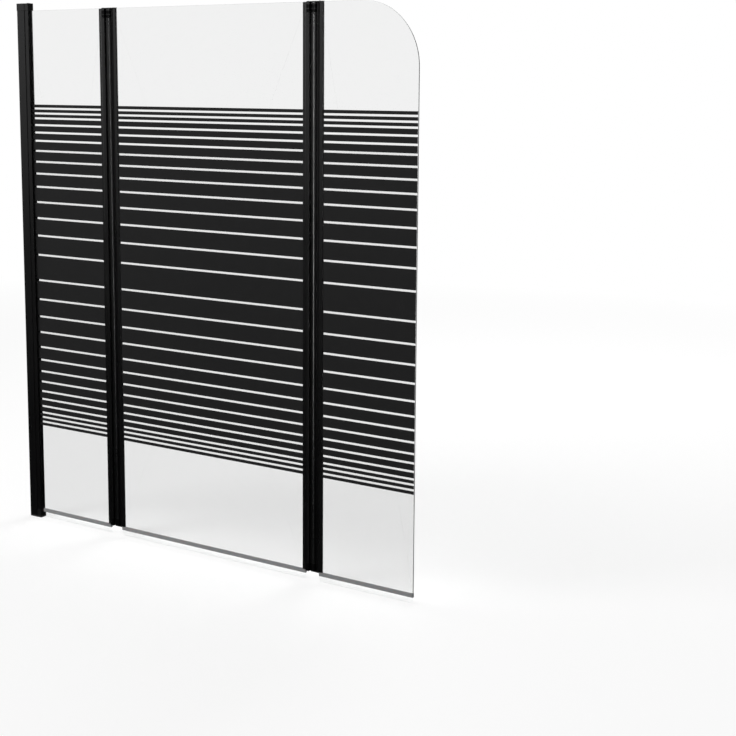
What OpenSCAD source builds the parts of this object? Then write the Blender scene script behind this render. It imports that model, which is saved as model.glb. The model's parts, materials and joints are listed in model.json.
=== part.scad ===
// Folding bath screen: one narrow leaf on the wall, a wide leaf and a narrow outer leaf, joined by two
// full-height hinges that fold towards the bath.
// Frame: X runs along the bath rim away from the wall (wall face at x = 0), Y points into the bath
// (glass centre plane at y = 0), Z is up from the rim that the foot of the wall profile stands on.

/* [Screen] */
// Height from the bath rim to the top plate of the wall cap
screen_h = 1410; // [1200:1:1600]
// Wall to the first hinge axis
fixed_leaf_w = 318.5; // [250:0.5:400]
// First hinge axis to the second hinge axis
middle_leaf_w = 645; // [450:0.5:800]
// Second hinge axis to the free glass edge
outer_leaf_w = 288; // [200:0.5:400]
// Radius of the free top corner
corner_r = 150; // [50:5:180]

/* [Glass] */
// Thickness of the toughened glass
glass_t = 4; // [4:0.5:5]
// Lower edge of the glass above the rim
glass_foot = 18.5; // [12:0.5:24]
// Thickness of the glazing strip between the glass and its pocket
strip_t = 0.5; // [0.4:0.1:0.8]
// How deep the hinge profiles hold the glass
hinge_grip = 7.7; // [6:0.1:9]
// How deep the wall profile holds the glass
wall_grip = 10.5; // [8:0.5:12]

/* [Print] */
// Clear line between two printed bars
print_gap = 5; // [3:0.5:8]
// Middle of the print below the middle of the screen
print_drop = 1; // [0:0.5:10]
// Thickness of the print on the outer glass face
print_t = 0.15; // [0.1:0.05:0.3]
// Clear margin beside a profile
print_margin = 0.3; // [0.2:0.1:3]
// Clear margin at the free glass edge
print_edge_margin = 0.5; // [0.5:0.5:6]

/* [Wall profile] */
// Thickness of the back plate of the wall channel
wall_back_t = 2; // [1.5:0.1:3]
// Depth of the wall channel out from the wall
channel_d = 26.5; // [22:0.5:30]
// Width of the wall channel across the glass
channel_w = 22; // [19.5:0.1:24]
// Wall of the two wall extrusions
extrusion_t = 1.5; // [1.2:0.1:2]
// Sliding clearance of the adjusting profile in the wall channel
slide_gap = 0.2; // [0.1:0.05:0.4]
// Space kept behind the adjusting profile for the wall screw heads
screw_head_room = 10; // [8:0.5:12]
// How far the adjusting profile stands out of the wall channel
adjust_out = 12.6; // [8:0.2:20]
// Radius of the wall screw holes
wall_hole_r = 3; // [2.5:0.1:4]
// Height of the lowest wall screw hole
wall_hole_foot = 105; // [60:1:200]
// Number of wall screw holes
wall_holes = 4; // [3:1:5]

/* [Wall caps] */
// Height of the top cap
cap_h = 19; // [12:0.5:24]
// Height of the foot cap
foot_cap_h = 21.5; // [18:0.5:26]
// Wall of both caps
cap_t = 1; // [1:0.1:2]
// Thickness of the end plate of both caps
cap_plate_t = 2; // [1.5:0.1:3]
// Clearance of the caps round the profiles
cap_gap = 0.1; // [0.05:0.05:0.2]
// Radius of the dome on the top cap
dome_r = 7; // [5:0.5:8]
// Height of the dome on the top cap
dome_h = 1.2; // [1:0.2:4]

/* [Locking screws] */
// Number of screws that lock the adjusting profile
lock_screws = 3; // [2:1:5]
// Shank radius of a locking screw
lock_screw_r = 1.9; // [1.5:0.1:2.2]
// Head radius of a locking screw
lock_head_r = 3.8; // [3:0.1:4.5]
// Head height of a locking screw
lock_head_h = 2.2; // [1.5:0.1:3]
// Shank length of a locking screw
lock_screw_l = 6; // [4:0.5:8]

/* [Hinge] */
// Hinge axis offset from the glass centre plane, towards the bath
axis_y = 4; // [4:0.1:6]
// Outer radius of the hinge barrel
barrel_r = 8; // [7:0.1:9]
// Radius of the hinge pins
pin_r = 3; // [2.5:0.1:3.5]
// Length of a hinge pin below or above its block's outer face
pin_l = 45; // [30:1:60]
// Running clearance of a pin in its bush
pin_gap = 0.05; // [0.02:0.01:0.08]
// Wall of a bush
bush_t = 2; // [1.2:0.1:2.4]
// Length of a bush inside the barrel
bush_l = 22; // [12:1:30]
// Thickness of the bush flange
bush_flange_t = 1; // [0.8:0.1:1.5]
// Clearance between the barrel and the profile beside it
jaw_gap = 0.35; // [0.3:0.05:0.5]
// Distance from the hinge axis to the lip of the fixed profile
lip_reach = 28; // [27:0.5:34]
// Distance from the hinge axis to the lip of the moving profile
moving_reach = 29.2; // [28:0.1:34]
// Wall of the glass pocket of a hinge profile
pocket_t = 1.2; // [1:0.1:1.5]
// Floor of the glass pocket of a hinge profile
pocket_floor_t = 2; // [1.5:0.1:2.5]
// Width of the flat lip before the rounded face of the fixed profile
lip_flat = 5.5; // [4:0.5:7]
// How far the rounded face stands out from the lip
crown_h = 3.4; // [2:0.1:4.5]
// Top of the hinge profiles below the top of the glass
hinge_drop = 1; // [0.5:0.5:6]

/* [Hinge ends] */
// Height of the top hinge block inside the fixed profile
top_block_h = 23; // [16:1:28]
// Height of the band at the top of the top block that comes level with the rounded face
block_band_h = 7.5; // [4:0.5:10]
// Height of the rib across the top block
block_rib_h = 2.2; // [1:0.1:3]
// Foot of the rib above the foot of the top block
block_rib_z = 7; // [4:0.5:10]
// How far the top block is set back between its band and its rib
block_recess = 1; // [0.5:0.1:1.2]
// Height of the foot hinge block inside the fixed profile
foot_block_h = 18; // [12:1:22]
// Where the blocks start, measured back from the hinge axis
block_reach = 15.2; // [14.8:0.1:15.6]
// Height of the gap between a block and the bush flange
block_gap = 0.2; // [0.1:0.05:0.4]
// How far a block stands proud of the rounded face
block_proud = 0.4; // [0.2:0.1:1]
// Rounding of the inner corner of a block
block_round = 4; // [2:0.5:6]
// Thickness of the end caps of the moving profile, and how far the blocks stand out with them
end_cap_t = 2; // [1:0.1:2.5]
// Radius of the screw ports in the hinge profiles
port_r = 1.45; // [1.2:0.05:1.6]
// Length of a hinge screw under its head
hinge_screw_l = 30; // [22:1:36]

/* [Bottom seal] */
// Wall of the clip on the glass
seal_t = 1.2; // [0.8:0.1:1.5]
// Floor of the clip under the glass
seal_floor_t = 2; // [1.5:0.1:3]
// Height of the clip
seal_h = 9.5; // [8:0.5:12]
// Clearance between the wall foot cap and the seal of the first leaf
seal_start_gap = 3.6; // [0.1:0.1:6]
// Thickness of the wiping fin
fin_t = 1; // [0.6:0.1:1.5]
// Clearance of the wiping fin above the rim
fin_lift = 1; // [0.5:0.5:4]
// Height of the stiff root of the fin under the clip
fin_root_h = 3; // [2:0.5:5]

/* [Hidden] */
$fn = 96;
eps = 0.01;

profile_black = "#202022";
plastic_black = "#141415";
print_black = "#262626";
glass_clear = [0.85, 0.93, 0.92, 0.35];
seal_grey = "#9a9c9d";
strip_black = "#0f0f10";
steel = "#b9bcc0";

// Where the leaves begin and end
hinge1_x = fixed_leaf_w;
hinge2_x = hinge1_x + middle_leaf_w;
free_edge_x = hinge2_x + outer_leaf_w;
adjust_x = channel_d + adjust_out;
glass_edge = lip_reach - hinge_grip;
glass_start_x = adjust_x - wall_grip;
glass_top = screen_h - cap_h;
profile_top = screen_h - cap_plate_t;

// Glass pockets
pocket_w = glass_t + 2 * strip_t;
hinge_half = pocket_w / 2 + pocket_t;
pocket_end = glass_edge - strip_t;

// Hinge heights
seal_foot = glass_foot - seal_floor_t;
fin_root_extra = 0.4;
hinge_foot = seal_foot + seal_h;
hinge_top = glass_top - hinge_drop;
block_top_z = hinge_top - top_block_h;
block_foot_z = hinge_foot + foot_block_h;
barrel_top = block_top_z - block_gap - bush_flange_t;
barrel_foot = block_foot_z + block_gap + bush_flange_t;
block_top_end = hinge_top + end_cap_t;
block_foot_end = hinge_foot - end_cap_t;
jaw_r = barrel_r + jaw_gap;
bush_r = pin_r + pin_gap + bush_t;
flange_r = barrel_r - 0.4;
fit = 0.02;

// Face of the fixed profile: rounded from the end of the lip to the crown, nearly flat from there
crown_start = lip_reach - lip_flat;
crown_end = 7.5;
crown_mid = crown_start - 8;
crown_half = crown_start - crown_mid;
crown_r = (crown_half * crown_half + crown_h * crown_h) / (2 * crown_h);
crown_y = -hinge_half - crown_h;
crown_flat_r = 28;
gutter_x = jaw_r + 1.15;
gutter_foot = -hinge_half + 0.3;
gutter_top = 0.6;

chamber_wall = 1.4;
chamber_w = 1.6;
chamber_x = pocket_end - pocket_floor_t - chamber_w;
seal_groove_y = 1.3;
seal_groove_w = 1.6;
seal_groove_x = 10.6;
seal_nose_gap = 0.3;

// Front of the moving profile: from the start of the front lip back to a knee, then to the barrel
lip_start = 20.6;
knee = [12.4, 1.7];
web_root = [barrel_r - 0.3, 2.6];

// Screw ports
block_port = [-12.6, 1.2];
crown_port = [-12.4, -4.6];
cap_port_wall = 0.55;
cap_port = [pocket_end - pocket_floor_t - port_r - 0.25, hinge_half - port_r - cap_port_wall];
hinge_screw_r = port_r - 0.05;
hinge_head_r = 2.2;
hinge_head_h = 1.4;
counterbore_h = 3;
head_gap = 0.15;

// Adjusting profile
adjust_w = channel_w - 2 * extrusion_t - 2 * slide_gap;
adjust_back_x = wall_back_t + screw_head_room;
lock_x = (adjust_back_x + channel_d) / 2;
lock_above_hole = 30;
lock_hole_gap = 0.2;
lock_margin = wall_hole_foot + lock_above_hole;
cover_gap = 0.3;
cover_side_t = 1.3;
cover_t = 1.1;
cover_r = lock_head_r + cover_gap + cover_side_t;
wall_hole_pitch = (screen_h - 2 * wall_hole_foot) / (wall_holes - 1);
lock_pitch = (screen_h - 2 * lock_margin) / (lock_screws - 1);

// Heights of the printed bars from the outside inwards; the last one is the middle bar
bar_heights = [8, 8, 8, 13, 15, 17, 22, 24, 27, 30.5, 36.5, 38.5, 42.5, 47.5, 64.5];
bars = len(bar_heights);
print_mid = screen_h / 2 - print_drop;

// Distance from the middle of the print to the lower edge of bar i above the middle
function bar_foot(i) =
    i == bars - 1 ? -bar_heights[i] / 2 : bar_foot(i + 1) + bar_heights[i + 1] + print_gap;

// ---------- shared shapes ----------

// A sheet of glass from x0 to x1 with its top corner at x1 rounded by r
module glass_sheet(x0, x1, r) {
    color(glass_clear)
    translate([0, glass_t / 2, 0])
    rotate([90, 0, 0])
    linear_extrude(glass_t)
    if (r > 0) {
        translate([x0, glass_foot]) square([x1 - x0 - r, glass_top - glass_foot]);
        translate([x0, glass_foot]) square([x1 - x0, glass_top - glass_foot - r]);
        translate([x1 - r, glass_top - r])
            intersection() {
                circle(r);
                square(r);
            }
    } else {
        translate([x0, glass_foot]) square([x1 - x0, glass_top - glass_foot]);
    }
}

// The printed bars between x0 and x1, on the outer face of the glass
module print_bars(x0, x1) {
    color(print_black)
    for (i = [0 : bars - 1])
        for (side = i == bars - 1 ? [1] : [-1, 1])
            translate([
                x0,
                -glass_t / 2 - print_t,
                print_mid + (side > 0 ? bar_foot(i) : -bar_foot(i) - bar_heights[i])
            ])
            cube([x1 - x0, print_t, bar_heights[i]]);
}

// The seal under one leaf: a clip on the glass edge and a fin that leans towards the bath
module bottom_seal(x0, x1) {
    half = glass_t / 2 + seal_t;
    root = fin_t / 2 + fin_root_extra;
    reach = hinge_half - cap_gap;
    color(seal_grey)
    translate([x0, 0, 0])
    rotate([90, 0, 90])
    linear_extrude(x1 - x0)
    union() {
        difference() {
            translate([-half, seal_foot]) square([2 * half, seal_h]);
            translate([-glass_t / 2, glass_foot]) square([glass_t, seal_h]);
        }
        polygon([
            [-fin_t / 2, seal_foot + eps],
            [-fin_t / 2, seal_foot - fin_root_h],
            [reach - fin_t, fin_lift],
            [reach, fin_lift],
            [root, seal_foot - fin_root_h],
            [root, seal_foot + eps]
        ]);
    }
}

// U-shaped glazing strip round a vertical glass edge at x; side is +1 where the glass runs to +X
module glazing_strip(x, side, grip, z0, z1) {
    color(strip_black)
    translate([x, 0, z0])
    scale([side, 1, 1])
    linear_extrude(z1 - z0)
    difference() {
        translate([-strip_t, -pocket_w / 2]) square([grip + strip_t, pocket_w]);
        translate([0, -glass_t / 2]) square([grip + 1, glass_t]);
    }
}

// A pan-head screw with its shank along -Z and the underside of its head at z = 0
module pan_screw(r, length, head_r, head_h) {
    rise = head_h * 0.45;
    rotate_extrude()
    polygon([
        [0, -length],
        [r, -length],
        [r, 0],
        [head_r, 0],
        [head_r, head_h - rise],
        [head_r * 0.8, head_h],
        [0, head_h]
    ]);
}

// ---------- wall profile ----------

module wall_channel() {
    color(profile_black)
    difference() {
        linear_extrude(profile_top)
        difference() {
            translate([0, -channel_w / 2]) square([channel_d, channel_w]);
            translate([wall_back_t, -channel_w / 2 + extrusion_t])
                square([channel_d, channel_w - 2 * extrusion_t]);
        }
        for (i = [0 : wall_holes - 1])
            translate([-1, 0, wall_hole_foot + i * wall_hole_pitch])
            rotate([0, 90, 0])
            cylinder(r = wall_hole_r, h = wall_back_t + 2);
        for (i = [0 : lock_screws - 1])
            translate([lock_x, 0, lock_margin + i * lock_pitch])
            rotate([-90, 0, 0])
            cylinder(r = lock_screw_r + lock_hole_gap, h = channel_w);
    }
}

module adjusting_profile() {
    inner_w = adjust_w - 2 * extrusion_t;
    pocket_floor_x = glass_start_x - strip_t;
    pocket_half = pocket_w / 2;
    color(profile_black)
    difference() {
        translate([0, 0, cap_plate_t])
        linear_extrude(profile_top - cap_plate_t)
        difference() {
            translate([adjust_back_x, -adjust_w / 2]) square([adjust_x - adjust_back_x, adjust_w]);
            translate([adjust_back_x - 1, -inner_w / 2])
                square([pocket_floor_x - extrusion_t - adjust_back_x + 1, inner_w]);
            translate([pocket_floor_x, -pocket_half]) square([wall_grip + strip_t + 1, pocket_w]);
            for (side = [-1, 1])
                translate([
                    pocket_floor_x,
                    side > 0 ? pocket_half + extrusion_t : -inner_w / 2
                ])
                square([wall_grip + strip_t - extrusion_t, inner_w / 2 - pocket_half - extrusion_t]);
        }
        for (i = [0 : lock_screws - 1])
            translate([lock_x, 0, lock_margin + i * lock_pitch])
            rotate([-90, 0, 0])
            cylinder(r = lock_screw_r + fit, h = channel_w);
    }
}

// Outline round both wall extrusions, or round the adjusting profile only
module wall_outline(grow, foot) {
    if (!foot)
        translate([0, -channel_w / 2 - grow]) square([channel_d + grow, channel_w + 2 * grow]);
    translate([foot ? channel_d + cap_gap : 0, -adjust_w / 2 - grow])
        square([adjust_x + grow - (foot ? channel_d + cap_gap : 0), adjust_w + 2 * grow]);
}

module wall_top_cap() {
    dome_sphere_r = (dome_r * dome_r + dome_h * dome_h) / (2 * dome_h);
    dome_x = (channel_d + adjust_x) / 2;
    color(plastic_black)
    union() {
        difference() {
            translate([0, 0, screen_h - cap_h]) linear_extrude(cap_h) wall_outline(cap_gap + cap_t, false);
            translate([-1, 0, screen_h - cap_h - 1])
                linear_extrude(cap_h + 1 - cap_plate_t)
                union() {
                    wall_outline(cap_gap, false);
                    translate([1, 0]) wall_outline(cap_gap, false);
                }
        }
        intersection() {
            translate([dome_x, 0, screen_h + dome_h - dome_sphere_r]) sphere(dome_sphere_r);
            translate([dome_x, 0, screen_h - eps]) cylinder(r = dome_r + 1, h = dome_h + 1);
        }
    }
}

module wall_foot_cap() {
    slot_w = glass_t + 2 * seal_t + 2 * cap_gap;
    peg_w = adjust_w / 2 - extrusion_t - pocket_w / 2 - extrusion_t - 2 * cap_gap;
    peg_l = wall_grip + strip_t - extrusion_t - 2 * cap_gap;
    color(plastic_black)
    union() {
        difference() {
            linear_extrude(foot_cap_h) wall_outline(cap_gap + cap_t, true);
            translate([0, 0, cap_plate_t])
                linear_extrude(foot_cap_h)
                translate([channel_d, -adjust_w / 2 - cap_gap])
                square([adjust_x + cap_gap - channel_d, adjust_w + 2 * cap_gap]);
            translate([adjust_x - 1, -slot_w / 2, seal_foot - 1])
                cube([cap_t + cap_gap + 2, slot_w, foot_cap_h]);
        }
        for (side = [-1, 1])
            translate([
                glass_start_x - strip_t + cap_gap,
                side * (pocket_w / 2 + extrusion_t + cap_gap + peg_w / 2) - peg_w / 2,
                cap_plate_t - eps
            ])
            cube([peg_l, peg_w, foot_cap_h / 2]);
    }
}

module locking_screws() {
    color(steel)
    for (i = [0 : lock_screws - 1])
        translate([lock_x, channel_w / 2, lock_margin + i * lock_pitch])
        rotate([-90, 0, 0])
        pan_screw(lock_screw_r, lock_screw_l, lock_head_r, lock_head_h);
}

// Press-on covers over the heads of the locking screws
module screw_covers() {
    inner_h = lock_head_h + cover_gap;
    color(plastic_black)
    for (i = [0 : lock_screws - 1])
        translate([lock_x, channel_w / 2, lock_margin + i * lock_pitch])
        rotate([-90, 0, 0])
        rotate_extrude()
        polygon([
            [lock_head_r + cover_gap, 0],
            [cover_r, 0],
            [cover_r, inner_h],
            [cover_r - cover_t, inner_h + cover_t],
            [0, inner_h + cover_t],
            [0, inner_h],
            [lock_head_r + cover_gap, inner_h]
        ]);
}

module wall_glazing_strip() {
    glazing_strip(glass_start_x, 1, wall_grip, glass_foot, glass_top);
}

// ---------- leaves ----------

module leaf1_glass() { glass_sheet(glass_start_x, hinge1_x - glass_edge, 0); }
module leaf2_glass() { glass_sheet(hinge1_x + glass_edge, hinge2_x - glass_edge, 0); }
module leaf3_glass() { glass_sheet(hinge2_x + glass_edge, free_edge_x, corner_r); }

module leaf1_print() {
    print_bars(adjust_x + print_margin, hinge1_x - lip_reach - print_margin);
}
module leaf2_print() {
    print_bars(hinge1_x + moving_reach + print_margin, hinge2_x - lip_reach - print_margin);
}
module leaf3_print() {
    print_bars(hinge2_x + moving_reach + print_margin, free_edge_x - print_edge_margin);
}

module leaf1_bottom_seal() {
    bottom_seal(adjust_x + cap_gap + cap_t + seal_start_gap, hinge1_x - glass_edge);
}
module leaf2_bottom_seal() { bottom_seal(hinge1_x + glass_edge, hinge2_x - glass_edge); }
module leaf3_bottom_seal() { bottom_seal(hinge2_x + glass_edge, free_edge_x); }

// ---------- hinge, drawn with its axis at x = 0 ----------

// Section of the fixed profile: pocket, rounded face, jaw round the barrel
module fixed_section() {
    difference() {
        union() {
            translate([-lip_reach, -hinge_half]) square([lip_reach, 2 * hinge_half]);
            intersection() {
                translate([-crown_mid, crown_y + crown_r]) circle(crown_r);
                translate([-crown_start, crown_y - 1]) square([crown_start - crown_mid, crown_h + 1.1]);
            }
            intersection() {
                translate([-crown_mid, crown_y + crown_flat_r]) circle(crown_flat_r);
                translate([-crown_mid - eps, crown_y - 1])
                    square([crown_mid - crown_end + eps, crown_h + 1.1]);
            }
        }
        // glass pocket
        translate([-lip_reach - 1, -pocket_w / 2]) square([lip_reach + 1 - pocket_end, pocket_w]);
        // jaw round the barrel
        translate([0, axis_y]) circle(jaw_r);
        // open gutter in front of the barrel, wider behind the edge of the rounded face
        translate([-gutter_x, gutter_foot]) square([gutter_x + 1, gutter_top - gutter_foot]);
        translate([-crown_end, crown_y - 1]) square([crown_end + 1, gutter_top - crown_y + 1]);
        barrel_seal_groove();
        // hollow chamber behind the glass pocket
        translate([-chamber_x - chamber_w, crown_y + chamber_wall])
            square([chamber_w, hinge_half - crown_y - 2 * chamber_wall]);
        translate(block_port) circle(port_r);
        translate(crown_port) circle(port_r);
    }
}

// Groove in the jaw that holds the soft strip beside the barrel
module barrel_seal_groove() {
    translate([-seal_groove_x, seal_groove_y]) square([seal_groove_x, seal_groove_w]);
}

module fixed_profile() {
    color(profile_black)
    difference() {
        translate([0, 0, hinge_foot]) linear_extrude(hinge_top - hinge_foot) fixed_section();
        // the blocks take the place of the jaw at both ends
        translate([-block_reach, -2 * lip_reach, block_top_z])
            cube([lip_reach, 4 * lip_reach, top_block_h + 1]);
        translate([-block_reach, -2 * lip_reach, hinge_foot - 1])
            cube([lip_reach, 4 * lip_reach, foot_block_h + 1]);
    }
}

// Section of the moving profile; with_barrel is false at the height of the blocks
module moving_section(with_barrel) {
    difference() {
        union() {
            if (with_barrel) translate([0, axis_y]) circle(barrel_r);
            polygon([
                [0, hinge_half],
                [moving_reach, hinge_half],
                [moving_reach, -hinge_half],
                [lip_start, -hinge_half],
                knee,
                web_root,
                [0, web_root[1]]
            ]);
        }
        if (with_barrel)
            translate([0, axis_y]) circle(bush_r + fit);
        else
            translate([0, axis_y]) circle(barrel_r + 2 * jaw_gap);
        translate([pocket_end, -pocket_w / 2]) square([moving_reach, pocket_w]);
        translate(cap_port) circle(port_r);
    }
}

module moving_profile() {
    color(profile_black)
    union() {
        translate([0, 0, barrel_foot]) linear_extrude(barrel_top - barrel_foot) moving_section(true);
        translate([0, 0, hinge_foot]) linear_extrude(barrel_foot - hinge_foot) moving_section(false);
        translate([0, 0, barrel_top]) linear_extrude(hinge_top - barrel_top) moving_section(false);
    }
}

// Section of a hinge block: an arm that fills the end of the fixed profile and a round knuckle,
// set back from its full section by recess
module block_section(recess) {
    front = crown_y - block_proud + recess;
    difference() {
        union() {
            polygon([
                [-block_reach + fit, hinge_half],
                [-block_reach + fit, front],
                [-crown_end, front],
                [-crown_end, gutter_top],
                [0, gutter_top],
                [0, hinge_half]
            ]);
            translate([0, axis_y]) circle(barrel_r - recess);
        }
        translate([0, axis_y]) circle(pin_r + fit);
        translate(block_port) circle(port_r);
        translate(crown_port) circle(port_r);
    }
}

// up is +1 for the block at the top, -1 for the one at the foot
module hinge_block(up) {
    h = end_cap_t + (up > 0 ? top_block_h : foot_block_h);
    z0 = up > 0 ? block_top_z : block_foot_end;
    inner_z = up > 0 ? block_top_z : block_foot_z;
    color(plastic_black)
    difference() {
        union() {
            translate([0, 0, z0]) linear_extrude(h) block_section(up > 0 ? block_recess : 0);
            if (up > 0) {
                translate([0, 0, z0 + h - block_band_h])
                    linear_extrude(block_band_h)
                    block_section(0);
                translate([0, 0, z0 + block_rib_z]) linear_extrude(block_rib_h) block_section(0);
            }
        }
        // rounded inner corner of the arm
        translate([-block_reach + block_round, 0, inner_z + up * block_round])
        rotate([90, 0, 0])
        linear_extrude(4 * lip_reach, center = true)
        difference() {
            translate([-2 * block_round, up > 0 ? -2 * block_round : 0]) square(2 * block_round);
            circle(block_round);
        }
        // seats for the screw heads
        for (port = [block_port, crown_port])
            translate([port[0], port[1], up > 0 ? block_top_end - counterbore_h : block_foot_end - 1])
            cylinder(r = hinge_head_r + head_gap, h = counterbore_h + 1);
    }
}

module hinge_pins() {
    color(steel)
    union() {
        translate([0, axis_y, block_top_end - pin_l]) cylinder(r = pin_r, h = pin_l);
        translate([0, axis_y, block_foot_end]) cylinder(r = pin_r, h = pin_l);
    }
}

module block_screws() {
    color(steel)
    for (port = [block_port, crown_port]) {
        translate([port[0], port[1], block_top_end - counterbore_h])
            pan_screw(hinge_screw_r, hinge_screw_l, hinge_head_r, hinge_head_h);
        translate([port[0], port[1], block_foot_end + counterbore_h])
            mirror([0, 0, 1])
            pan_screw(hinge_screw_r, hinge_screw_l, hinge_head_r, hinge_head_h);
    }
}

// Soft strip in the jaw that closes the gap beside the barrel
module barrel_seal() {
    color(strip_black)
    translate([0, 0, block_foot_z])
    linear_extrude(block_top_z - block_foot_z)
    difference() {
        barrel_seal_groove();
        translate([0, axis_y]) circle(barrel_r + seal_nose_gap);
    }
}

module hinge_bushes() {
    color(plastic_black)
    for (top = [0, 1])
        translate([0, axis_y, top ? barrel_top : barrel_foot])
        mirror([0, 0, top ? 0 : 1])
        rotate_extrude()
        polygon([
            [pin_r + pin_gap, -bush_l],
            [bush_r, -bush_l],
            [bush_r, 0],
            [flange_r, 0],
            [flange_r, bush_flange_t],
            [pin_r + pin_gap, bush_flange_t]
        ]);
}

module end_caps() {
    color(plastic_black)
    difference() {
        union() {
            translate([0, 0, hinge_top]) linear_extrude(end_cap_t) end_cap_section(moving_reach);
            translate([0, 0, hinge_foot - end_cap_t])
                linear_extrude(end_cap_t)
                end_cap_section(glass_edge - cap_gap);
        }
        translate([cap_port[0], cap_port[1], hinge_foot - 2 * end_cap_t])
            cylinder(r = port_r, h = hinge_top - hinge_foot + 4 * end_cap_t);
    }
}

// Outline of an end cap: the moving section without its pocket, clear of the knuckle
module end_cap_section(reach) {
    difference() {
        translate([0, -hinge_half]) square([reach, 2 * hinge_half]);
        translate([0, axis_y]) circle(barrel_r + 2 * jaw_gap);
        translate([glass_edge - cap_gap, -glass_t / 2 - cap_gap])
            square([moving_reach, glass_t + 2 * cap_gap]);
    }
}

module cap_screws() {
    color(steel)
    union() {
        translate([cap_port[0], cap_port[1], hinge_top + end_cap_t])
            pan_screw(hinge_screw_r, hinge_screw_l / 2, hinge_head_r, hinge_head_h);
        translate([cap_port[0], cap_port[1], hinge_foot - end_cap_t])
            mirror([0, 0, 1])
            pan_screw(hinge_screw_r, hinge_screw_l / 2, hinge_head_r, hinge_head_h);
    }
}

module at_hinge(n) { translate([n == 1 ? hinge1_x : hinge2_x, 0, 0]) children(); }

module fixed_strip() { glazing_strip(-glass_edge, -1, hinge_grip, hinge_foot, hinge_top); }
module moving_strip() { glazing_strip(glass_edge, 1, moving_reach - glass_edge, hinge_foot, hinge_top); }

module hinge1_fixed_profile() { at_hinge(1) fixed_profile(); }
module hinge1_fixed_strip() { at_hinge(1) fixed_strip(); }
module hinge1_top_block() { at_hinge(1) hinge_block(1); }
module hinge1_foot_block() { at_hinge(1) hinge_block(-1); }
module hinge1_pins() { at_hinge(1) hinge_pins(); }
module hinge1_block_screws() { at_hinge(1) block_screws(); }
module hinge1_barrel_seal() { at_hinge(1) barrel_seal(); }
module hinge1_moving_profile() { at_hinge(1) moving_profile(); }
module hinge1_moving_strip() { at_hinge(1) moving_strip(); }
module hinge1_bushes() { at_hinge(1) hinge_bushes(); }
module hinge1_end_caps() { at_hinge(1) end_caps(); }
module hinge1_cap_screws() { at_hinge(1) cap_screws(); }

module hinge2_fixed_profile() { at_hinge(2) fixed_profile(); }
module hinge2_fixed_strip() { at_hinge(2) fixed_strip(); }
module hinge2_top_block() { at_hinge(2) hinge_block(1); }
module hinge2_foot_block() { at_hinge(2) hinge_block(-1); }
module hinge2_pins() { at_hinge(2) hinge_pins(); }
module hinge2_block_screws() { at_hinge(2) block_screws(); }
module hinge2_barrel_seal() { at_hinge(2) barrel_seal(); }
module hinge2_moving_profile() { at_hinge(2) moving_profile(); }
module hinge2_moving_strip() { at_hinge(2) moving_strip(); }
module hinge2_bushes() { at_hinge(2) hinge_bushes(); }
module hinge2_end_caps() { at_hinge(2) end_caps(); }
module hinge2_cap_screws() { at_hinge(2) cap_screws(); }

wall_channel();
adjusting_profile();
wall_top_cap();
wall_foot_cap();
locking_screws();
screw_covers();
wall_glazing_strip();
leaf1_glass();
leaf1_print();
leaf1_bottom_seal();
leaf2_glass();
leaf2_print();
leaf2_bottom_seal();
leaf3_glass();
leaf3_print();
leaf3_bottom_seal();
hinge1_fixed_profile();
hinge1_fixed_strip();
hinge1_top_block();
hinge1_foot_block();
hinge1_pins();
hinge1_block_screws();
hinge1_barrel_seal();
hinge1_moving_profile();
hinge1_moving_strip();
hinge1_bushes();
hinge1_end_caps();
hinge1_cap_screws();
hinge2_fixed_profile();
hinge2_fixed_strip();
hinge2_top_block();
hinge2_foot_block();
hinge2_pins();
hinge2_block_screws();
hinge2_barrel_seal();
hinge2_moving_profile();
hinge2_moving_strip();
hinge2_bushes();
hinge2_end_caps();
hinge2_cap_screws();
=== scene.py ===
# %% [markdown]
# # A folding bath screen
# The real object is a bath screen of three glass leaves: a narrow leaf in a wall profile, a wide middle
# leaf and a narrow outer leaf with a rounded corner. Two full-height hinges join them. This lesson loads
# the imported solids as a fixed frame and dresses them: each extrusion, moulding, sheet and screw gets its
# fine shape as a surface worked out with numpy, and each material is a small tree of nodes. The frame
# comes first, because every piece takes its place from it.

# %% Load the frame
import json
import math

import bmesh
import bpy
import numpy as np
from mathutils import Matrix, Vector

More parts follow.
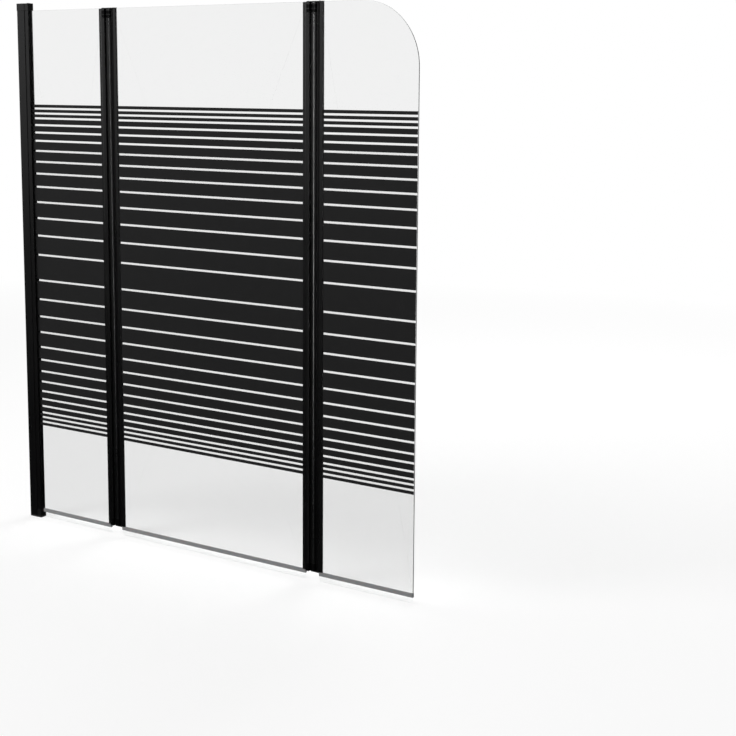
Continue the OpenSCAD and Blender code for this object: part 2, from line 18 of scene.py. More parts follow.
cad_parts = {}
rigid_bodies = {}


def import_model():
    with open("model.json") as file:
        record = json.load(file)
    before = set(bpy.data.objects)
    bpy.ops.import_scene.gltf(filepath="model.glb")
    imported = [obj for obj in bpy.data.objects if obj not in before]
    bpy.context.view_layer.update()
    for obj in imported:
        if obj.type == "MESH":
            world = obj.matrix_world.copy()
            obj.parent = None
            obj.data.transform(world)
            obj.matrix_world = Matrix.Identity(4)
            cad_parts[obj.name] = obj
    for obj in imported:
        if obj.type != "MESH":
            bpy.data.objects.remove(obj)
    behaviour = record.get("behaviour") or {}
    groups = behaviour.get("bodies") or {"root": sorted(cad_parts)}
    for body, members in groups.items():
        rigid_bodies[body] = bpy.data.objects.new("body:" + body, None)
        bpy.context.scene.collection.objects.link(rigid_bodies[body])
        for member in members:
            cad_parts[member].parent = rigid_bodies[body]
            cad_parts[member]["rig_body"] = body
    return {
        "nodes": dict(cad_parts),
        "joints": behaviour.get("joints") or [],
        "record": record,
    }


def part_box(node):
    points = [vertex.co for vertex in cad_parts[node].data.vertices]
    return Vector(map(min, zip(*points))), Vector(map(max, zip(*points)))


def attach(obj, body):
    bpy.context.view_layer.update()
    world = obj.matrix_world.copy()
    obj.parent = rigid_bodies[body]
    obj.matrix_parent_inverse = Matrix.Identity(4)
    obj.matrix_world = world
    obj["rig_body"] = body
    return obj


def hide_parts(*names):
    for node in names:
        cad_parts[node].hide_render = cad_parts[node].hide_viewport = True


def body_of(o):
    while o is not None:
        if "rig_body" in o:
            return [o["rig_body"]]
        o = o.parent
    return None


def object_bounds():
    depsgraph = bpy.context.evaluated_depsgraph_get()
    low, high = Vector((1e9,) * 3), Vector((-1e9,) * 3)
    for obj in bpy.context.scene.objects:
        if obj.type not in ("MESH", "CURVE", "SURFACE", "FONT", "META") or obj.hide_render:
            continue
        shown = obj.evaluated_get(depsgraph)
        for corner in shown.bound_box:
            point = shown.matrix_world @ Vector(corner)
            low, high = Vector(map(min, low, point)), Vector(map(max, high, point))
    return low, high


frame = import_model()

MM = 0.001
cad_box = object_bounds()
print("box in mm:", [tuple(round(v / MM, 1) for v in corner) for corner in cad_box])

# %% [markdown]
# ## The camera
# A photograph is matched by the place of the eye, the way it looks and the focal length. The picture
# was cropped, so the line of sight doesn't go through its middle: a shift of the lens does the same.
# The focal length and the place of the line of sight are measured in pixels of the photograph, and the
# camera wants them in millimetres of its sensor and in shares of the picture's width.

# %% Camera at the photograph's viewing angle
PICTURE = 736
SENSOR = 36.0
EYE = Vector((3.0739, -2.9648, 1.2383))
TURN, TILT, ROLL = 36.489, 8.879, -0.082
FOCAL_PIXELS = 1547.25
SIGHT_PIXEL = (285.24, 310.12)
CLIP_START, CLIP_END = 0.05, 60.0


def placed(name, data):
    """A new object that holds the data, in the scene."""
    thing = bpy.data.objects.new(name, data)
    bpy.context.scene.collection.objects.link(thing)
    return thing


lens = bpy.data.cameras.new("photograph_lens")
lens.sensor_width = SENSOR
lens.lens = FOCAL_PIXELS / PICTURE * SENSOR
lens.shift_x = 0.5 - SIGHT_PIXEL[0] / PICTURE
lens.shift_y = SIGHT_PIXEL[1] / PICTURE - 0.5
lens.clip_start, lens.clip_end = CLIP_START, CLIP_END
camera = placed("photograph_camera", lens)
camera.matrix_world = (
    Matrix.Translation(EYE)
    @ Matrix.Rotation(math.radians(TURN), 4, "Z")
    @ Matrix.Rotation(math.radians(90.0 - TILT), 4, "X")
    @ Matrix.Rotation(math.radians(ROLL), 4, "Z")
)
bpy.context.scene.camera = camera
bpy.context.scene.view_settings.view_transform = "Standard"
print(f"lens {lens.lens:.2f} mm, shift {lens.shift_x:.4f} {lens.shift_y:.4f}")

# %% [markdown]
# ## Nodes in one line
# Light and finishes are trees of shader nodes. In the editor they are boxes and wires. Here one call makes
# a box, sets its choices and fills its inputs, so a tree reads like a formula from the inside out. Nearly
# every material starts as one Principled shader with its plain values on the shader's own sockets.

# %% Making and filling nodes
WHITE = (1.0, 1.0, 1.0, 1.0)


def fill(tree, socket, value):
    """Links a socket to an output of another node, or sets it to a plain value."""
    if isinstance(value, bpy.types.NodeSocket):
        tree.links.new(value, socket)
    else:
        socket.default_value = value


def wired(tree, kind, inputs=(), output=0, **settings):
    """The wanted output of a new node, once its settings are made and its inputs filled. Inputs and the
    output go by name or number, and a node without outputs gives None."""
    box = tree.nodes.new("ShaderNode" + kind)
    for name, value in settings.items():
        setattr(box, name, value)
    for name, value in dict(inputs).items():
        fill(tree, box.inputs[name], value)
    return box.outputs[output] if box.outputs else None


def ranged(tree, value, source, target):
    """The value on the straight line that takes the source pair to the target pair, held at its ends."""
    ends = dict(zip(("From Min", "From Max", "To Min", "To Max"), (*source, *target)))
    return wired(tree, "MapRange", {"Value": value, **ends})


def principled(tree):
    """The Principled shader of a material's tree."""
    return tree.nodes["Principled BSDF"]


def shader_of(name, colour, roughness, **values):
    """A new material with a Principled shader. Extra values are sockets, with _ for a space in the name."""
    material = bpy.data.materials.new(name)
    material.use_nodes = True
    for socket, value in {"Base Color": (*colour, 1.0), "Roughness": roughness, **values}.items():
        principled(material.node_tree).inputs[socket.replace("_", " ")].default_value = value
    return material


def surface(material, shader):
    """Makes a shader the surface of its material."""
    fill(material.node_tree, material.node_tree.nodes["Material Output"].inputs["Surface"], shader)


print("helpers for nodes:", [helper.__name__ for helper in (fill, wired, ranged, shader_of, surface)])

# %% [markdown]
# ## The studio
# Black satin metal shows its shape only by what it mirrors, so the light is a soft box high on the left,
# which fades down the profiles, and a tall narrow one in front, which draws the bright line along each
# round barrel. The background is white for the eye, and also for mirrored and passed rays, so that glass
# and metal show it too. The light that falls on the object from all round is softer than that.

# %% White background and soft light
AMBIENT = 0.30


def seen_share(tree):
    """1 for a camera, glossy or transmission ray and 0 for any other: three flags added, up to 1 at most."""
    share = wired(tree, "LightPath", output="Is Camera Ray")
    for flag in ("Is Glossy Ray", "Is Transmission Ray"):
        more = wired(tree, "LightPath", output=flag)
        share = wired(tree, "Math", {0: share, 1: more}, operation="ADD", use_clamp=True)
    return share


world = bpy.data.worlds.new("white_studio")
world.use_nodes = True
world.cycles.sampling_method = "NONE"
bpy.context.scene.world = world
sky = world.node_tree
sky.nodes.clear()
fill_light = wired(sky, "Background", {"Color": WHITE, "Strength": AMBIENT})
backdrop = wired(sky, "Background", {"Color": WHITE})
either = wired(sky, "MixShader", {"Fac": seen_share(sky), 1: fill_light, 2: backdrop})
wired(sky, "OutputWorld", {"Surface": either})
print("background nodes:", len(sky.nodes))

# %% Soft boxes
MIDDLE = (cad_box[0] + cad_box[1]) / 2
LINE_HEIGHT = 0.95
LINE_SPREAD = 50.0
second_hinge_x = frame["joints"][1]["pos_m"][0]


def soft_box(name, place, target, width, height, watts):
    """A rectangular lamp at place that faces target."""
    lamp = bpy.data.lights.new(name, "AREA")
    lamp.shape = "RECTANGLE"
    lamp.size, lamp.size_y = width, height
    lamp.energy = watts
    stand = placed(name, lamp)
    stand.location = place
    stand.rotation_euler = (Vector(target) - Vector(place)).to_track_quat("-Z", "Y").to_euler()
    stand.visible_transmission = False
    print(name, "at", place, watts, "W")
    return stand


soft_box("high_box", place=(-1.4, -2.9, 3.1), target=MIDDLE, width=1.8, height=1.8, watts=90.0)
line_box = soft_box(
    "line_box", place=(1.48, -1.93, LINE_HEIGHT), target=(second_hinge_x, 0.0, LINE_HEIGHT),
    width=0.12, height=1.8, watts=4.1,
)
line_box.data.spread = math.radians(LINE_SPREAD)
line_box.visible_diffuse = False
back_box = soft_box("back_box", place=(0.4, 3.4, 2.9), target=MIDDLE, width=2.0, height=2.0, watts=60.0)
back_box.visible_glossy = False

# %% [markdown]
# ### Black flags
# Photographers place black cloth where satin black should stay black. Here a cloth lies on the ground all
# round, so that the coat mirrors white only from above the horizon and gets darker towards its foot, and
# an upright card stands behind on the right, so that the narrow right-hand sides go dark. Only mirrored
# rays see them: they take no light from the lamps and never show in the picture.

# %% Black flags
CLOTH_RADIUS = 20.0
CLOTH_HEIGHT = 0.004
SPOKES = 128
VELVET_BLACK = (0.002, 0.002, 0.002)


def disc(radius, height):
    """Circle points (radius cos a, radius sin a, height), a in even steps: one flat face."""
    a = np.linspace(0.0, 2.0 * np.pi, SPOKES, endpoint=False)
    return np.column_stack((radius * np.cos(a), radius * np.sin(a), np.full(SPOKES, height)))


def card(middle, facing, width, height):
    """Corners of an upright card: middle plus or minus half the width along the level and half the height."""
    level = np.array((-facing[1], facing[0], 0.0)) / math.hypot(facing[0], facing[1])
    sides = np.array(((-1, -1), (1, -1), (1, 1), (-1, 1))) / 2.0
    return np.array(middle) + sides[:, :1] * width * level + sides[:, 1:] * np.array((0.0, 0.0, height))


def flat_stage(name, points, material):
    """One flat face that is part of the studio and not of the screen."""
    mesh = bpy.data.meshes.new(name)
    mesh.from_pydata(points.tolist(), [], [tuple(range(len(points)))])
    mesh.materials.append(material)
    thing = placed(name, mesh)
    print(name, "in", material.name)
    return thing


velvet = shader_of("black_velvet", VELVET_BLACK, 0.5, Specular_IOR_Level=0.0)
cloth = velvet.node_tree
surface(velvet, wired(cloth, "MixShader", {
    "Fac": wired(cloth, "LightPath", output="Glossy Depth"),
    1: wired(cloth, "BsdfTransparent"),
    2: principled(cloth).outputs[0],
}))
side_card = card(middle=(2.6, 2.3, 1.6), facing=(-0.6, -0.8), width=3.0, height=3.2)
flags = (
    flat_stage("ground_cloth", disc(CLOTH_RADIUS, CLOTH_HEIGHT), velvet),
    flat_stage("side_card", side_card, velvet),
)
for flag in flags:
    flag.visible_camera = flag.visible_diffuse = flag.visible_shadow = False

# %% [markdown]
# ## The floor
# The floor is a wide disc at the height of the foot of the wall profile. For the eye it must melt
# into the white background and still keep the screen's shadow. So for seen rays a part of its white is
# its own light, and the rest is the lamps' light, which the shadow takes away. Further out the floor's own
# light grows to full white, so that no horizon shows.

# %% Pale floor
FLOOR_RADIUS = 9.0
FLOOR_REACH = (1.5, 5.0)
FLOOR_GLOW = 0.72
FLOOR_SHADE = 0.36
FLOOR_PALE = (0.75, 0.75, 0.75, 1.0)

pale = bpy.data.materials.new("pale_floor")
pale.use_nodes = True
ground = pale.node_tree
ground.nodes.remove(principled(ground))
where = wired(ground, "TexCoord", output="Object")
away = wired(ground, "VectorMath", {0: where}, output="Value", operation="LENGTH")
seen_lit = wired(ground, "BsdfDiffuse", {"Color": ranged(ground, away, FLOOR_REACH, (FLOOR_SHADE, 0.0))})
growing = ranged(ground, away, FLOOR_REACH, (FLOOR_GLOW, 1.0))
glow = wired(ground, "Emission", {"Color": WHITE, "Strength": growing})
surface(pale, wired(ground, "MixShader", {
    "Fac": seen_share(ground),
    1: wired(ground, "BsdfDiffuse", {"Color": FLOOR_PALE}),
    2: wired(ground, "AddShader", {0: seen_lit, 1: glow}),
}))
flat_stage("pale_floor", disc(FLOOR_RADIUS, 0.0), pale)

# %% [markdown]
# ## Finishes
# What makes a finish look real is small and irregular: the orange peel of powder coat, the spark-eroded
# grain of a mould, the draw lines of an extrusion. Noise on Object coordinates gives these, because it
# stays on the piece when the piece moves, and it needs no picture. A slow noise also takes the colour and
# the roughness a little up and down.

# %% Helpers for the finishes
CLOUD_RANGE = (0.3, 0.7)


def noise(tree, per_metre, detail=3.0, stretch=(1.0, 1.0, 1.0)):
    """Noise on Object coordinates, in features per metre, drawn out where stretch is under 1."""
    drawn = wired(tree, "Mapping", {"Vector": wired(tree, "TexCoord", output="Object"), "Scale": stretch})
    return wired(tree, "TexNoise", {"Vector": drawn, "Scale": per_metre, "Detail": detail}, output="Fac")


def varied(name, colour, roughness, cloud, tones, spread, bumps, **values):
    """A Principled material whose cloud noise takes the colour from the first tone to the second, and the
    roughness over its spread while the noise goes over CLOUD_RANGE, where it mostly lies. A bump is (noise,
    depth, strength): a noise height of 1 stands for depth metres, and each bump lies over the last one."""
    material = shader_of(name, colour, roughness, **values)
    tree = material.node_tree
    shader = principled(tree)
    slow = noise(tree, *cloud)
    dark, light = ((*tone, 1.0) for tone in tones)
    mixed = wired(tree, "Mix", {"Factor": slow, "A": dark, "B": light}, output="Result", data_type="RGBA")
    fill(tree, shader.inputs["Base Color"], mixed)
    fill(tree, shader.inputs["Roughness"], ranged(tree, slow, CLOUD_RANGE, spread))
    under = {}
    for fine, depth, strength in bumps:
        inputs = {"Height": noise(tree, *fine), "Distance": depth, "Strength": strength}
        under = {"Normal": wired(tree, "Bump", {**inputs, **under})}
    fill(tree, shader.inputs["Normal"], under["Normal"])
    print(name, "has", len(tree.nodes), "nodes")
    return material


print("noise mostly lies from", *CLOUD_RANGE)

# %% [markdown]
# ### Satin black coat of the profiles
# The extrusions are coated satin black. Up close such a coat has a faint orange peel of about a
# millimetre, and along the length faint draw lines from the die show through it. The base is nearly
# black and most of what is seen is gloss, so the roughness matters more than the colour.

# %% Satin black coat
PEEL = ((900.0, 2.0), 0.04 * MM, 0.5)
DRAW_LINES = ((700.0, 2.0, (1.0, 1.0, 0.004)), 0.02 * MM, 0.5)
coat_black = varied(
    "satin_black_coat", (0.0025, 0.0025, 0.0027), 0.29, Specular_IOR_Level=0.29,
    cloud=(18.0, 4.0, (1.0, 1.0, 0.3)), spread=(0.26, 0.32), bumps=(PEEL, DRAW_LINES),
    tones=((0.0020, 0.0020, 0.0021), (0.0030, 0.0030, 0.0032)),
)

# %% [markdown]
# ### Moulded black plastic
# Caps, bushes and screw covers are moulded. A mould is spark-eroded so that the plastic comes out matte
# with a fine even grain, rougher than the coat and a little softer in its highlights.

# %% Matte black plastic
GRAIN = ((2600.0, 2.0), 0.03 * MM, 0.6)
mould_black = varied(
    "moulded_black", (0.0035, 0.0035, 0.0037), 0.42, Specular_IOR_Level=0.27,
    cloud=(60.0,), tones=((0.0030, 0.0030, 0.0032), (0.0042, 0.0042, 0.0044)),
    spread=(0.38, 0.46), bumps=(GRAIN,),
)

# %% [markdown]
# ### Clear glass
# Clear toughened glass takes away a little of the light, evenly, and bends it. A refracting shader
# stops a lamp's rays, so the shadow of the sheet would be as dark as that of a board. A Transparent
# shader for shadow rays only lets that light through. The edges are ground, so where the Object normal
# turns away from the faces, part of the light is scattered by the fine facets of the grinding.

# %% Clear glass
GLASS_TINT = (0.872, 0.874, 0.873)
SHADOW_TINT = (0.93, 0.935, 0.932, 1.0)
GROUND_TINT = (0.80, 0.81, 0.81, 1.0)
GROUND_ROUGHNESS = 0.45
GROUND_SHARE = 0.55
FACE_TO_EDGE = (0.95, 0.60)
clear_glass = shader_of("clear_glass", GLASS_TINT, 0.0, IOR=1.5, Transmission_Weight=1.0)
glass = clear_glass.node_tree
along_y = wired(glass, "SeparateXYZ", {"Vector": wired(glass, "TexCoord", output="Normal")}, output="Y")
facing = wired(glass, "Math", {0: along_y}, operation="ABSOLUTE")
sheet_and_edge = wired(glass, "MixShader", {
    "Fac": ranged(glass, facing, FACE_TO_EDGE, (0.0, GROUND_SHARE)),
    1: principled(glass).outputs[0],
    2: wired(glass, "BsdfAnisotropic", {"Color": GROUND_TINT, "Roughness": GROUND_ROUGHNESS}),
})
surface(clear_glass, wired(glass, "MixShader", {
    "Fac": wired(glass, "LightPath", output="Is Shadow Ray"),
    1: sheet_and_edge,
    2: wired(glass, "BsdfTransparent", {"Color": SHADOW_TINT}),
}))
print("clear_glass has", len(glass.nodes), "nodes")

# %% [markdown]
# ### Printed bars
# The bars are ceramic ink, fired onto the glass: dense, very even and slightly matte. Only a whisper of
# variation in the ink's thickness shows in its gloss.

# %% Fired ceramic ink
INK_GRAIN = ((3000.0, 1.0), 0.01 * MM, 0.3)
ink_black = varied(
    "fired_ink", (0.0190, 0.0190, 0.0193), 0.45, Specular_IOR_Level=0.05,
    cloud=(40.0, 4.0), tones=((0.0182, 0.0182, 0.0185), (0.0200, 0.0200, 0.0203)),
    spread=(0.42, 0.48), bumps=(INK_GRAIN,),
)

# %% [markdown]
# ### Soft grey vinyl of the bottom seals
# The seals are soft translucent vinyl that looks grey: some light goes in and comes out nearby, so the
# shader scatters a little under the surface, and the surface has faint lines along its length.

# %% Grey vinyl
VINYL_LINES = ((1500.0, 2.0, (0.01, 1.0, 1.0)), 0.02 * MM, 0.5)
seal_vinyl = varied(
    "grey_vinyl", (0.30, 0.302, 0.305), 0.42,
    Subsurface_Weight=0.15, Subsurface_Scale=0.002, Specular_IOR_Level=0.4,
    cloud=(25.0,), tones=((0.285, 0.287, 0.290), (0.315, 0.317, 0.320)),
    spread=(0.38, 0.46), bumps=(VINYL_LINES,),
)

# %% [markdown]
# ### Black rubber and brushed steel
# The glazing strips and the strips beside the barrels are dull black rubber with a faint bloom. Pins
# and screws are stainless steel, turned on a lathe, so the fine lines run round their axis; noise that
# is drawn out across the height gives that without a map.

# %% Strips and steel
BLOOM = (220.0, 4.0)
strip_rubber = varied(
    "strip_rubber", (0.010, 0.010, 0.0105), 0.7, Specular_IOR_Level=0.25,
    cloud=BLOOM, tones=((0.008, 0.008, 0.0084), (0.013, 0.013, 0.0134)),
    spread=(0.62, 0.78), bumps=((BLOOM, 0.03 * MM, 0.5),),
)
LATHE = (160.0, 3.0, (1.0, 1.0, 40.0))
turned_steel = varied(
    "turned_steel", (0.56, 0.56, 0.55), 0.3, Metallic=1.0,
    cloud=LATHE, tones=((0.50, 0.50, 0.49), (0.62, 0.62, 0.61)),
    spread=(0.22, 0.36), bumps=((LATHE, 0.01 * MM, 0.4),),
)

# %% [markdown]
# ### Plastic of the hinge blocks
# The blocks are one plastic, but its gloss is painted by height: the band and the rib of the top block get
# the coat's full gloss as a painted highlight, and the body between them gets almost none, far less than the
# caps, as painted shade. Height in Object coordinates tells the two apart, because a block only ever turns
# about an upright axis. A comparison gives 1 within half a width of a middle height.

# %% Hinge block plastic
# Gloss of the painted shade on the block's body and of the painted highlight on its band and rib.
PAINTED_SHADE_SPECULAR, PAINTED_SHEEN_SPECULAR = 0.04, 0.29
BAND_H, RIB_H, RIB_Z = 7.5, 2.2, 7.0
MARGIN = 1.0
block_low, block_high = (corner[2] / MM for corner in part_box("hinge1_top_block"))
block_plastic = varied(
    "block_plastic", (0.003, 0.003, 0.0031), 0.36, Specular_IOR_Level=PAINTED_SHADE_SPECULAR,
    cloud=(60.0,), tones=((0.0024, 0.0024, 0.0025), (0.0034, 0.0034, 0.0036)),
    spread=(0.30, 0.40), bumps=(GRAIN,),
)
blocks = block_plastic.node_tree


def at_height(low, high):
    """1 where the Object height lies between low and high, in millimetres, and 0 elsewhere."""
    height = wired(blocks, "SeparateXYZ", {"Vector": wired(blocks, "TexCoord", output="Object")}, output="Z")
    middle, half = (low + high) / 2 * MM, (high - low) / 2 * MM
    return wired(blocks, "Math", {0: height, 1: middle, 2: half}, operation="COMPARE")


# Painted highlight and shade by height: the band and the rib get the coat's gloss, the body between almost
# none.
painted_sheen_mask = wired(blocks, "Math", {
    0: at_height(block_high - BAND_H, block_high + MARGIN),
    1: at_height(block_low + RIB_Z, block_low + RIB_Z + RIB_H),
}, operation="MAXIMUM")
painted_sheen = ranged(blocks, painted_sheen_mask, (0.0, 1.0), (PAINTED_SHADE_SPECULAR, PAINTED_SHEEN_SPECULAR))
fill(blocks, principled(blocks).inputs["Specular IOR Level"], painted_sheen)

# %% [markdown]
# ### Clear vinyl of the fins
# The soft fin is nearly clear: it passes most of the light and is a little cloudy.

# %% Clear vinyl
CLOUDY_LINES = (60.0, 3.0, (0.05, 1.0, 1.0))
clear_vinyl = varied(
    "clear_vinyl", (0.97, 0.975, 0.975), 0.08, IOR=1.12, Transmission_Weight=0.98, Specular_IOR_Level=0.2,
    cloud=CLOUDY_LINES, tones=((0.955, 0.96, 0.96), (0.98, 0.985, 0.985)),
    spread=(0.05, 0.12), bumps=((CLOUDY_LINES, 0.03 * MM, 0.4),),
)

# %% [markdown]
# ### The finish of each node
# Each node of the frame has a slot in the record, and the slot stands for one material. The surfaces that
# take the place of nodes further down are finished alike.

# %% Each CAD node gets the finish of its slot
FINISHES = {
    "profile": coat_black, "plastic": mould_black, "glass": clear_glass, "print": ink_black,
    "seal": seal_vinyl, "strip": strip_rubber, "steel": turned_steel,
}
slot_of = {row["node"]: row["material_slot"] for row in frame["record"]["subparts"]}


def finish_of(node):
    """The material of a node: the hinge blocks have their own, and the others go by their slot."""
    return block_plastic if node.endswith("_block") else FINISHES[slot_of[node]]


for node, solid in frame["nodes"].items():
    solid.data.materials.clear()
    solid.data.materials.append(finish_of(node))
print("nodes with a finish:", len(slot_of))

# %% [markdown]
# ## Making closed surfaces
# An extrusion is an outline carried along a straight path. A screw is a profile carried round an axis. A
# moulding is an outline that moves a little inwards near its edges, so that they are round. All three are
# a grid of points: one ring of the outline for each place along the path, worked out as whole arrays.
# Bores and cut-outs that cross the path are taken away afterwards with an exact Boolean, because that
# leaves a closed mesh. Sections are drawn in millimetres, with the hinge axis at x = 0 where there is one.

# %% Outlines
FILLET_POINTS = 5
LARGEST_SHARE = 0.45
SHARP_R, SAME_POINT = 1e-6, 1e-4


def bend(centre, radius, start, end, points, rounding=0.0):
    """Arc of a circle: centre + radius (cos a, sin a), with the angle a in even steps from start to end in
    degrees. The third column is the rounding of each point, which is 0 apart from the two ends."""
    a = np.radians(np.linspace(start, end, points))
    rows = np.column_stack((centre[0] + radius * np.cos(a), centre[1] + radius * np.sin(a), 0.0 * a))
    rows[[0, -1], 2] = rounding
    return rows


def outline(*stretches):
    """Closed outline from corners (x, y, rounding) and arcs, in order. The rounding's arc touches both sides
    of a corner at rounding / tan(h) from it, where h is half the angle between the sides, and its centre
    lies on the bisector at rounding / sin(h)."""
    rows = np.vstack([np.atleast_2d(s) for s in stretches]).astype(float)
    corner, rounding = rows[:, :2], rows[:, 2]
    back, ahead = np.roll(corner, 1, 0) - corner, np.roll(corner, -1, 0) - corner
    back_l, ahead_l = np.linalg.norm(back, axis=1), np.linalg.norm(ahead, axis=1)
    back, ahead = back / back_l[:, None], ahead / ahead_l[:, None]
    half = np.arccos(np.clip((back * ahead).sum(1), -1.0, 1.0)) / 2.0
    touch = np.minimum(rounding / np.tan(half), LARGEST_SHARE * np.minimum(back_l, ahead_l))
    radius = touch * np.tan(half)
    middle = back + ahead
    middle /= np.maximum(np.linalg.norm(middle, axis=1), 1e-9)[:, None]
    centre = corner + middle * (radius / np.sin(half))[:, None]
    first, last = (corner + side * touch[:, None] - centre for side in (back, ahead))
    start = np.arctan2(first[:, 1], first[:, 0])
    sweep = (np.arctan2(last[:, 1], last[:, 0]) - start + np.pi) % (2.0 * np.pi) - np.pi
    a = start[:, None] + sweep[:, None] * np.linspace(0.0, 1.0, FILLET_POINTS)
    line = centre[:, None] + radius[:, None, None] * np.stack((np.cos(a), np.sin(a)), -1)
    line[radius < SHARP_R] = corner[radius < SHARP_R][:, None]
    line = line.reshape(-1, 2)
    line = line[np.linalg.norm(line - np.roll(line, 1, 0), axis=1) > SAME_POINT]
    x, y = line.T
    area = (x * np.roll(y, -1) - y * np.roll(x, -1)).sum()
    return line if area > 0 else line[::-1]


def rectangle(x0, x1, y0, y1, rounding=0.0):
    """Outline of a rectangle with all four corners rounded alike."""
    return outline((x0, y0, rounding), (x1, y0, rounding), (x1, y1, rounding), (x0, y1, rounding))


def inset(line, distance):
    """The outline moved inwards. Each point moves along the mean of its two sides' normals, by
    2 distance mean / |mean|^2, so that each side moves by the distance."""
    along = np.roll(line, -1, 0) - line
    along /= np.linalg.norm(along, axis=1)[:, None]
    normal = np.column_stack((-along[:, 1], along[:, 0]))
    mean = normal + np.roll(normal, 1, 0)
    return line + 2.0 * distance * mean / (mean**2).sum(1)[:, None]


print("a rounded square has", len(rectangle(-1.0, 1.0, -1.0, 1.0, 0.2)), "points")

# %% [markdown]
# ### From outlines to shells
# A shell is a pair of points and faces. Its rings are joined by quads, and its two ends are closed by
# one flat face each, or the last ring joins the first where a profile goes round an axis.

# %% Shells


def carried(lines, places, run="z"):
    """Closed shell of outlines set at places along the x, y or z axis, one outline for each place."""
    lines = np.asarray(lines)
    u, v = lines[..., 0], lines[..., 1]
    w = np.broadcast_to(np.asarray(places, float)[:, None], u.shape)
    rings = np.stack({"z": (u, v, w), "x": (w, u, v), "y": (u, w, v)}[run], -1)
    count, points = u.shape
    index = np.arange(count * points).reshape(count, points)
    low, high = index[:-1], index[1:]
    quads = np.stack((low, np.roll(low, -1, 1), np.roll(high, -1, 1), high), -1).reshape(-1, 4)
    faces = quads.tolist() + [index[0][::-1].tolist(), index[-1].tolist()]
    return rings.reshape(-1, 3), faces


def run_of(line, start, end, run="z"):
    """Closed shell of one outline carried from start to end."""
    return carried([line, line], (start, end), run)


def block(x, y, z):
    """Closed shell of a block from the low to the high value on each axis."""
    return run_of(rectangle(*x, *y), *z)


def turned(profile, centre, run="z", points=48):
    """Closed shell of a profile of rows (radius, height) carried round an axis through centre. A radius may
    be an array round the axis, as for a socket. The ends of the profile lie on the axis."""
    a = np.linspace(0.0, 2.0 * np.pi, points, endpoint=False)
    radius = np.array([np.broadcast_to(r, points) for r, _ in profile], float)
    height = np.array([h for _, h in profile], float)
    lines = radius[..., None] * np.stack((np.cos(a), np.sin(a)), -1)
    shell, faces = carried(lines, height, run)
    return shell + np.asarray(centre, float), faces


def rod(radius, low, high, centre, run="z", points=48):
    """Closed shell of a cylinder from low to high along the axis through centre."""
    return turned([(0.0, low), (radius, low), (radius, high), (0.0, high)], centre, run, points)


def ring_turned(profile, centre, points=64):
    """Closed shell of a closed profile (radius, height) round an upright axis that it never meets."""
    line = outline(*profile)
    a = np.linspace(0.0, 2.0 * np.pi, points, endpoint=False)
    u, v = line[:, :1] * np.cos(a), line[:, :1] * np.sin(a)
    shell = np.stack((u, v, np.broadcast_to(line[:, 1:], u.shape)), -1)
    index = np.arange(u.size).reshape(u.shape)
    after = np.roll(index, -1, 0)
    quads = np.stack((index, np.roll(index, -1, 1), np.roll(after, -1, 1), after), -1).reshape(-1, 4)
    return shell.reshape(-1, 3) + np.asarray(centre, float), quads.tolist()


def rounded_run(line, start, end, round_start=0.0, round_end=0.0, steps=5):
    """An outline carried along z whose first and last edges are round: near an end the height follows
    radius sin a and the outline moves inwards by radius (1 - cos a)."""
    a = np.radians(np.linspace(0.0, 90.0, steps))
    lines, places = [], []
    for place, radius, way in ((start, round_start, 1.0), (end, round_end, -1.0)):
        angles = a[::-1] if way > 0 else a
        for angle in angles if radius else (0.0,):
            lines.append(inset(line, radius * (1.0 - math.cos(angle))))
            places.append(place + way * radius * (1.0 - math.sin(angle)))
    return carried(lines, places)


print("a block has", len(block((0, 1), (0, 1), (0, 1))[1]), "faces")

# %% [markdown]
# ### From shells to pieces
# A mesh is filled from the arrays, welded, and given outward normals. Smooth shading with sharp edges
# past 35 degrees keeps the flats flat, and weighted normals stop the small fillets from bending the
# light on the large faces. The piece then rides on the body of the node it stands for.

# %% Pieces
CREASE = math.radians(35.0)
WELD = 1e-7
CUT, JOIN = "DIFFERENCE", "UNION"


def mesh_of(name, shells, at):
    """One mesh from shells in millimetres, moved along x by at."""
    points = (np.vstack([shell[0] for shell in shells]) + (at, 0.0, 0.0)) * MM
    starts = np.cumsum([0] + [len(shell[0]) for shell in shells[:-1]])
    faces = [[int(start) + i for i in face] for start, shell in zip(starts, shells) for face in shell[1]]
    mesh = bpy.data.meshes.new(name)
    mesh.from_pydata(points.tolist(), [], faces)
    welded = bmesh.new()
    welded.from_mesh(mesh)
    bmesh.ops.remove_doubles(welded, verts=welded.verts, dist=WELD)
    bmesh.ops.recalc_face_normals(welded, faces=welded.faces)
    welded.to_mesh(mesh)
    welded.free()
    return mesh


def worked(mesh, operation, tool_mesh):
    """The mesh with another mesh added or taken away by an exact Boolean."""
    stock, tool = placed("stock", mesh), placed("tool", tool_mesh)
    step = stock.modifiers.new("work", "BOOLEAN")
    step.operation, step.solver, step.object = operation, "EXACT", tool
    bpy.context.view_layer.update()
    done = bpy.data.meshes.new_from_object(stock.evaluated_get(bpy.context.evaluated_depsgraph_get()))
    for thing in (stock, tool):
        old = thing.data
        bpy.data.objects.remove(thing)
        bpy.data.meshes.remove(old)
    return done


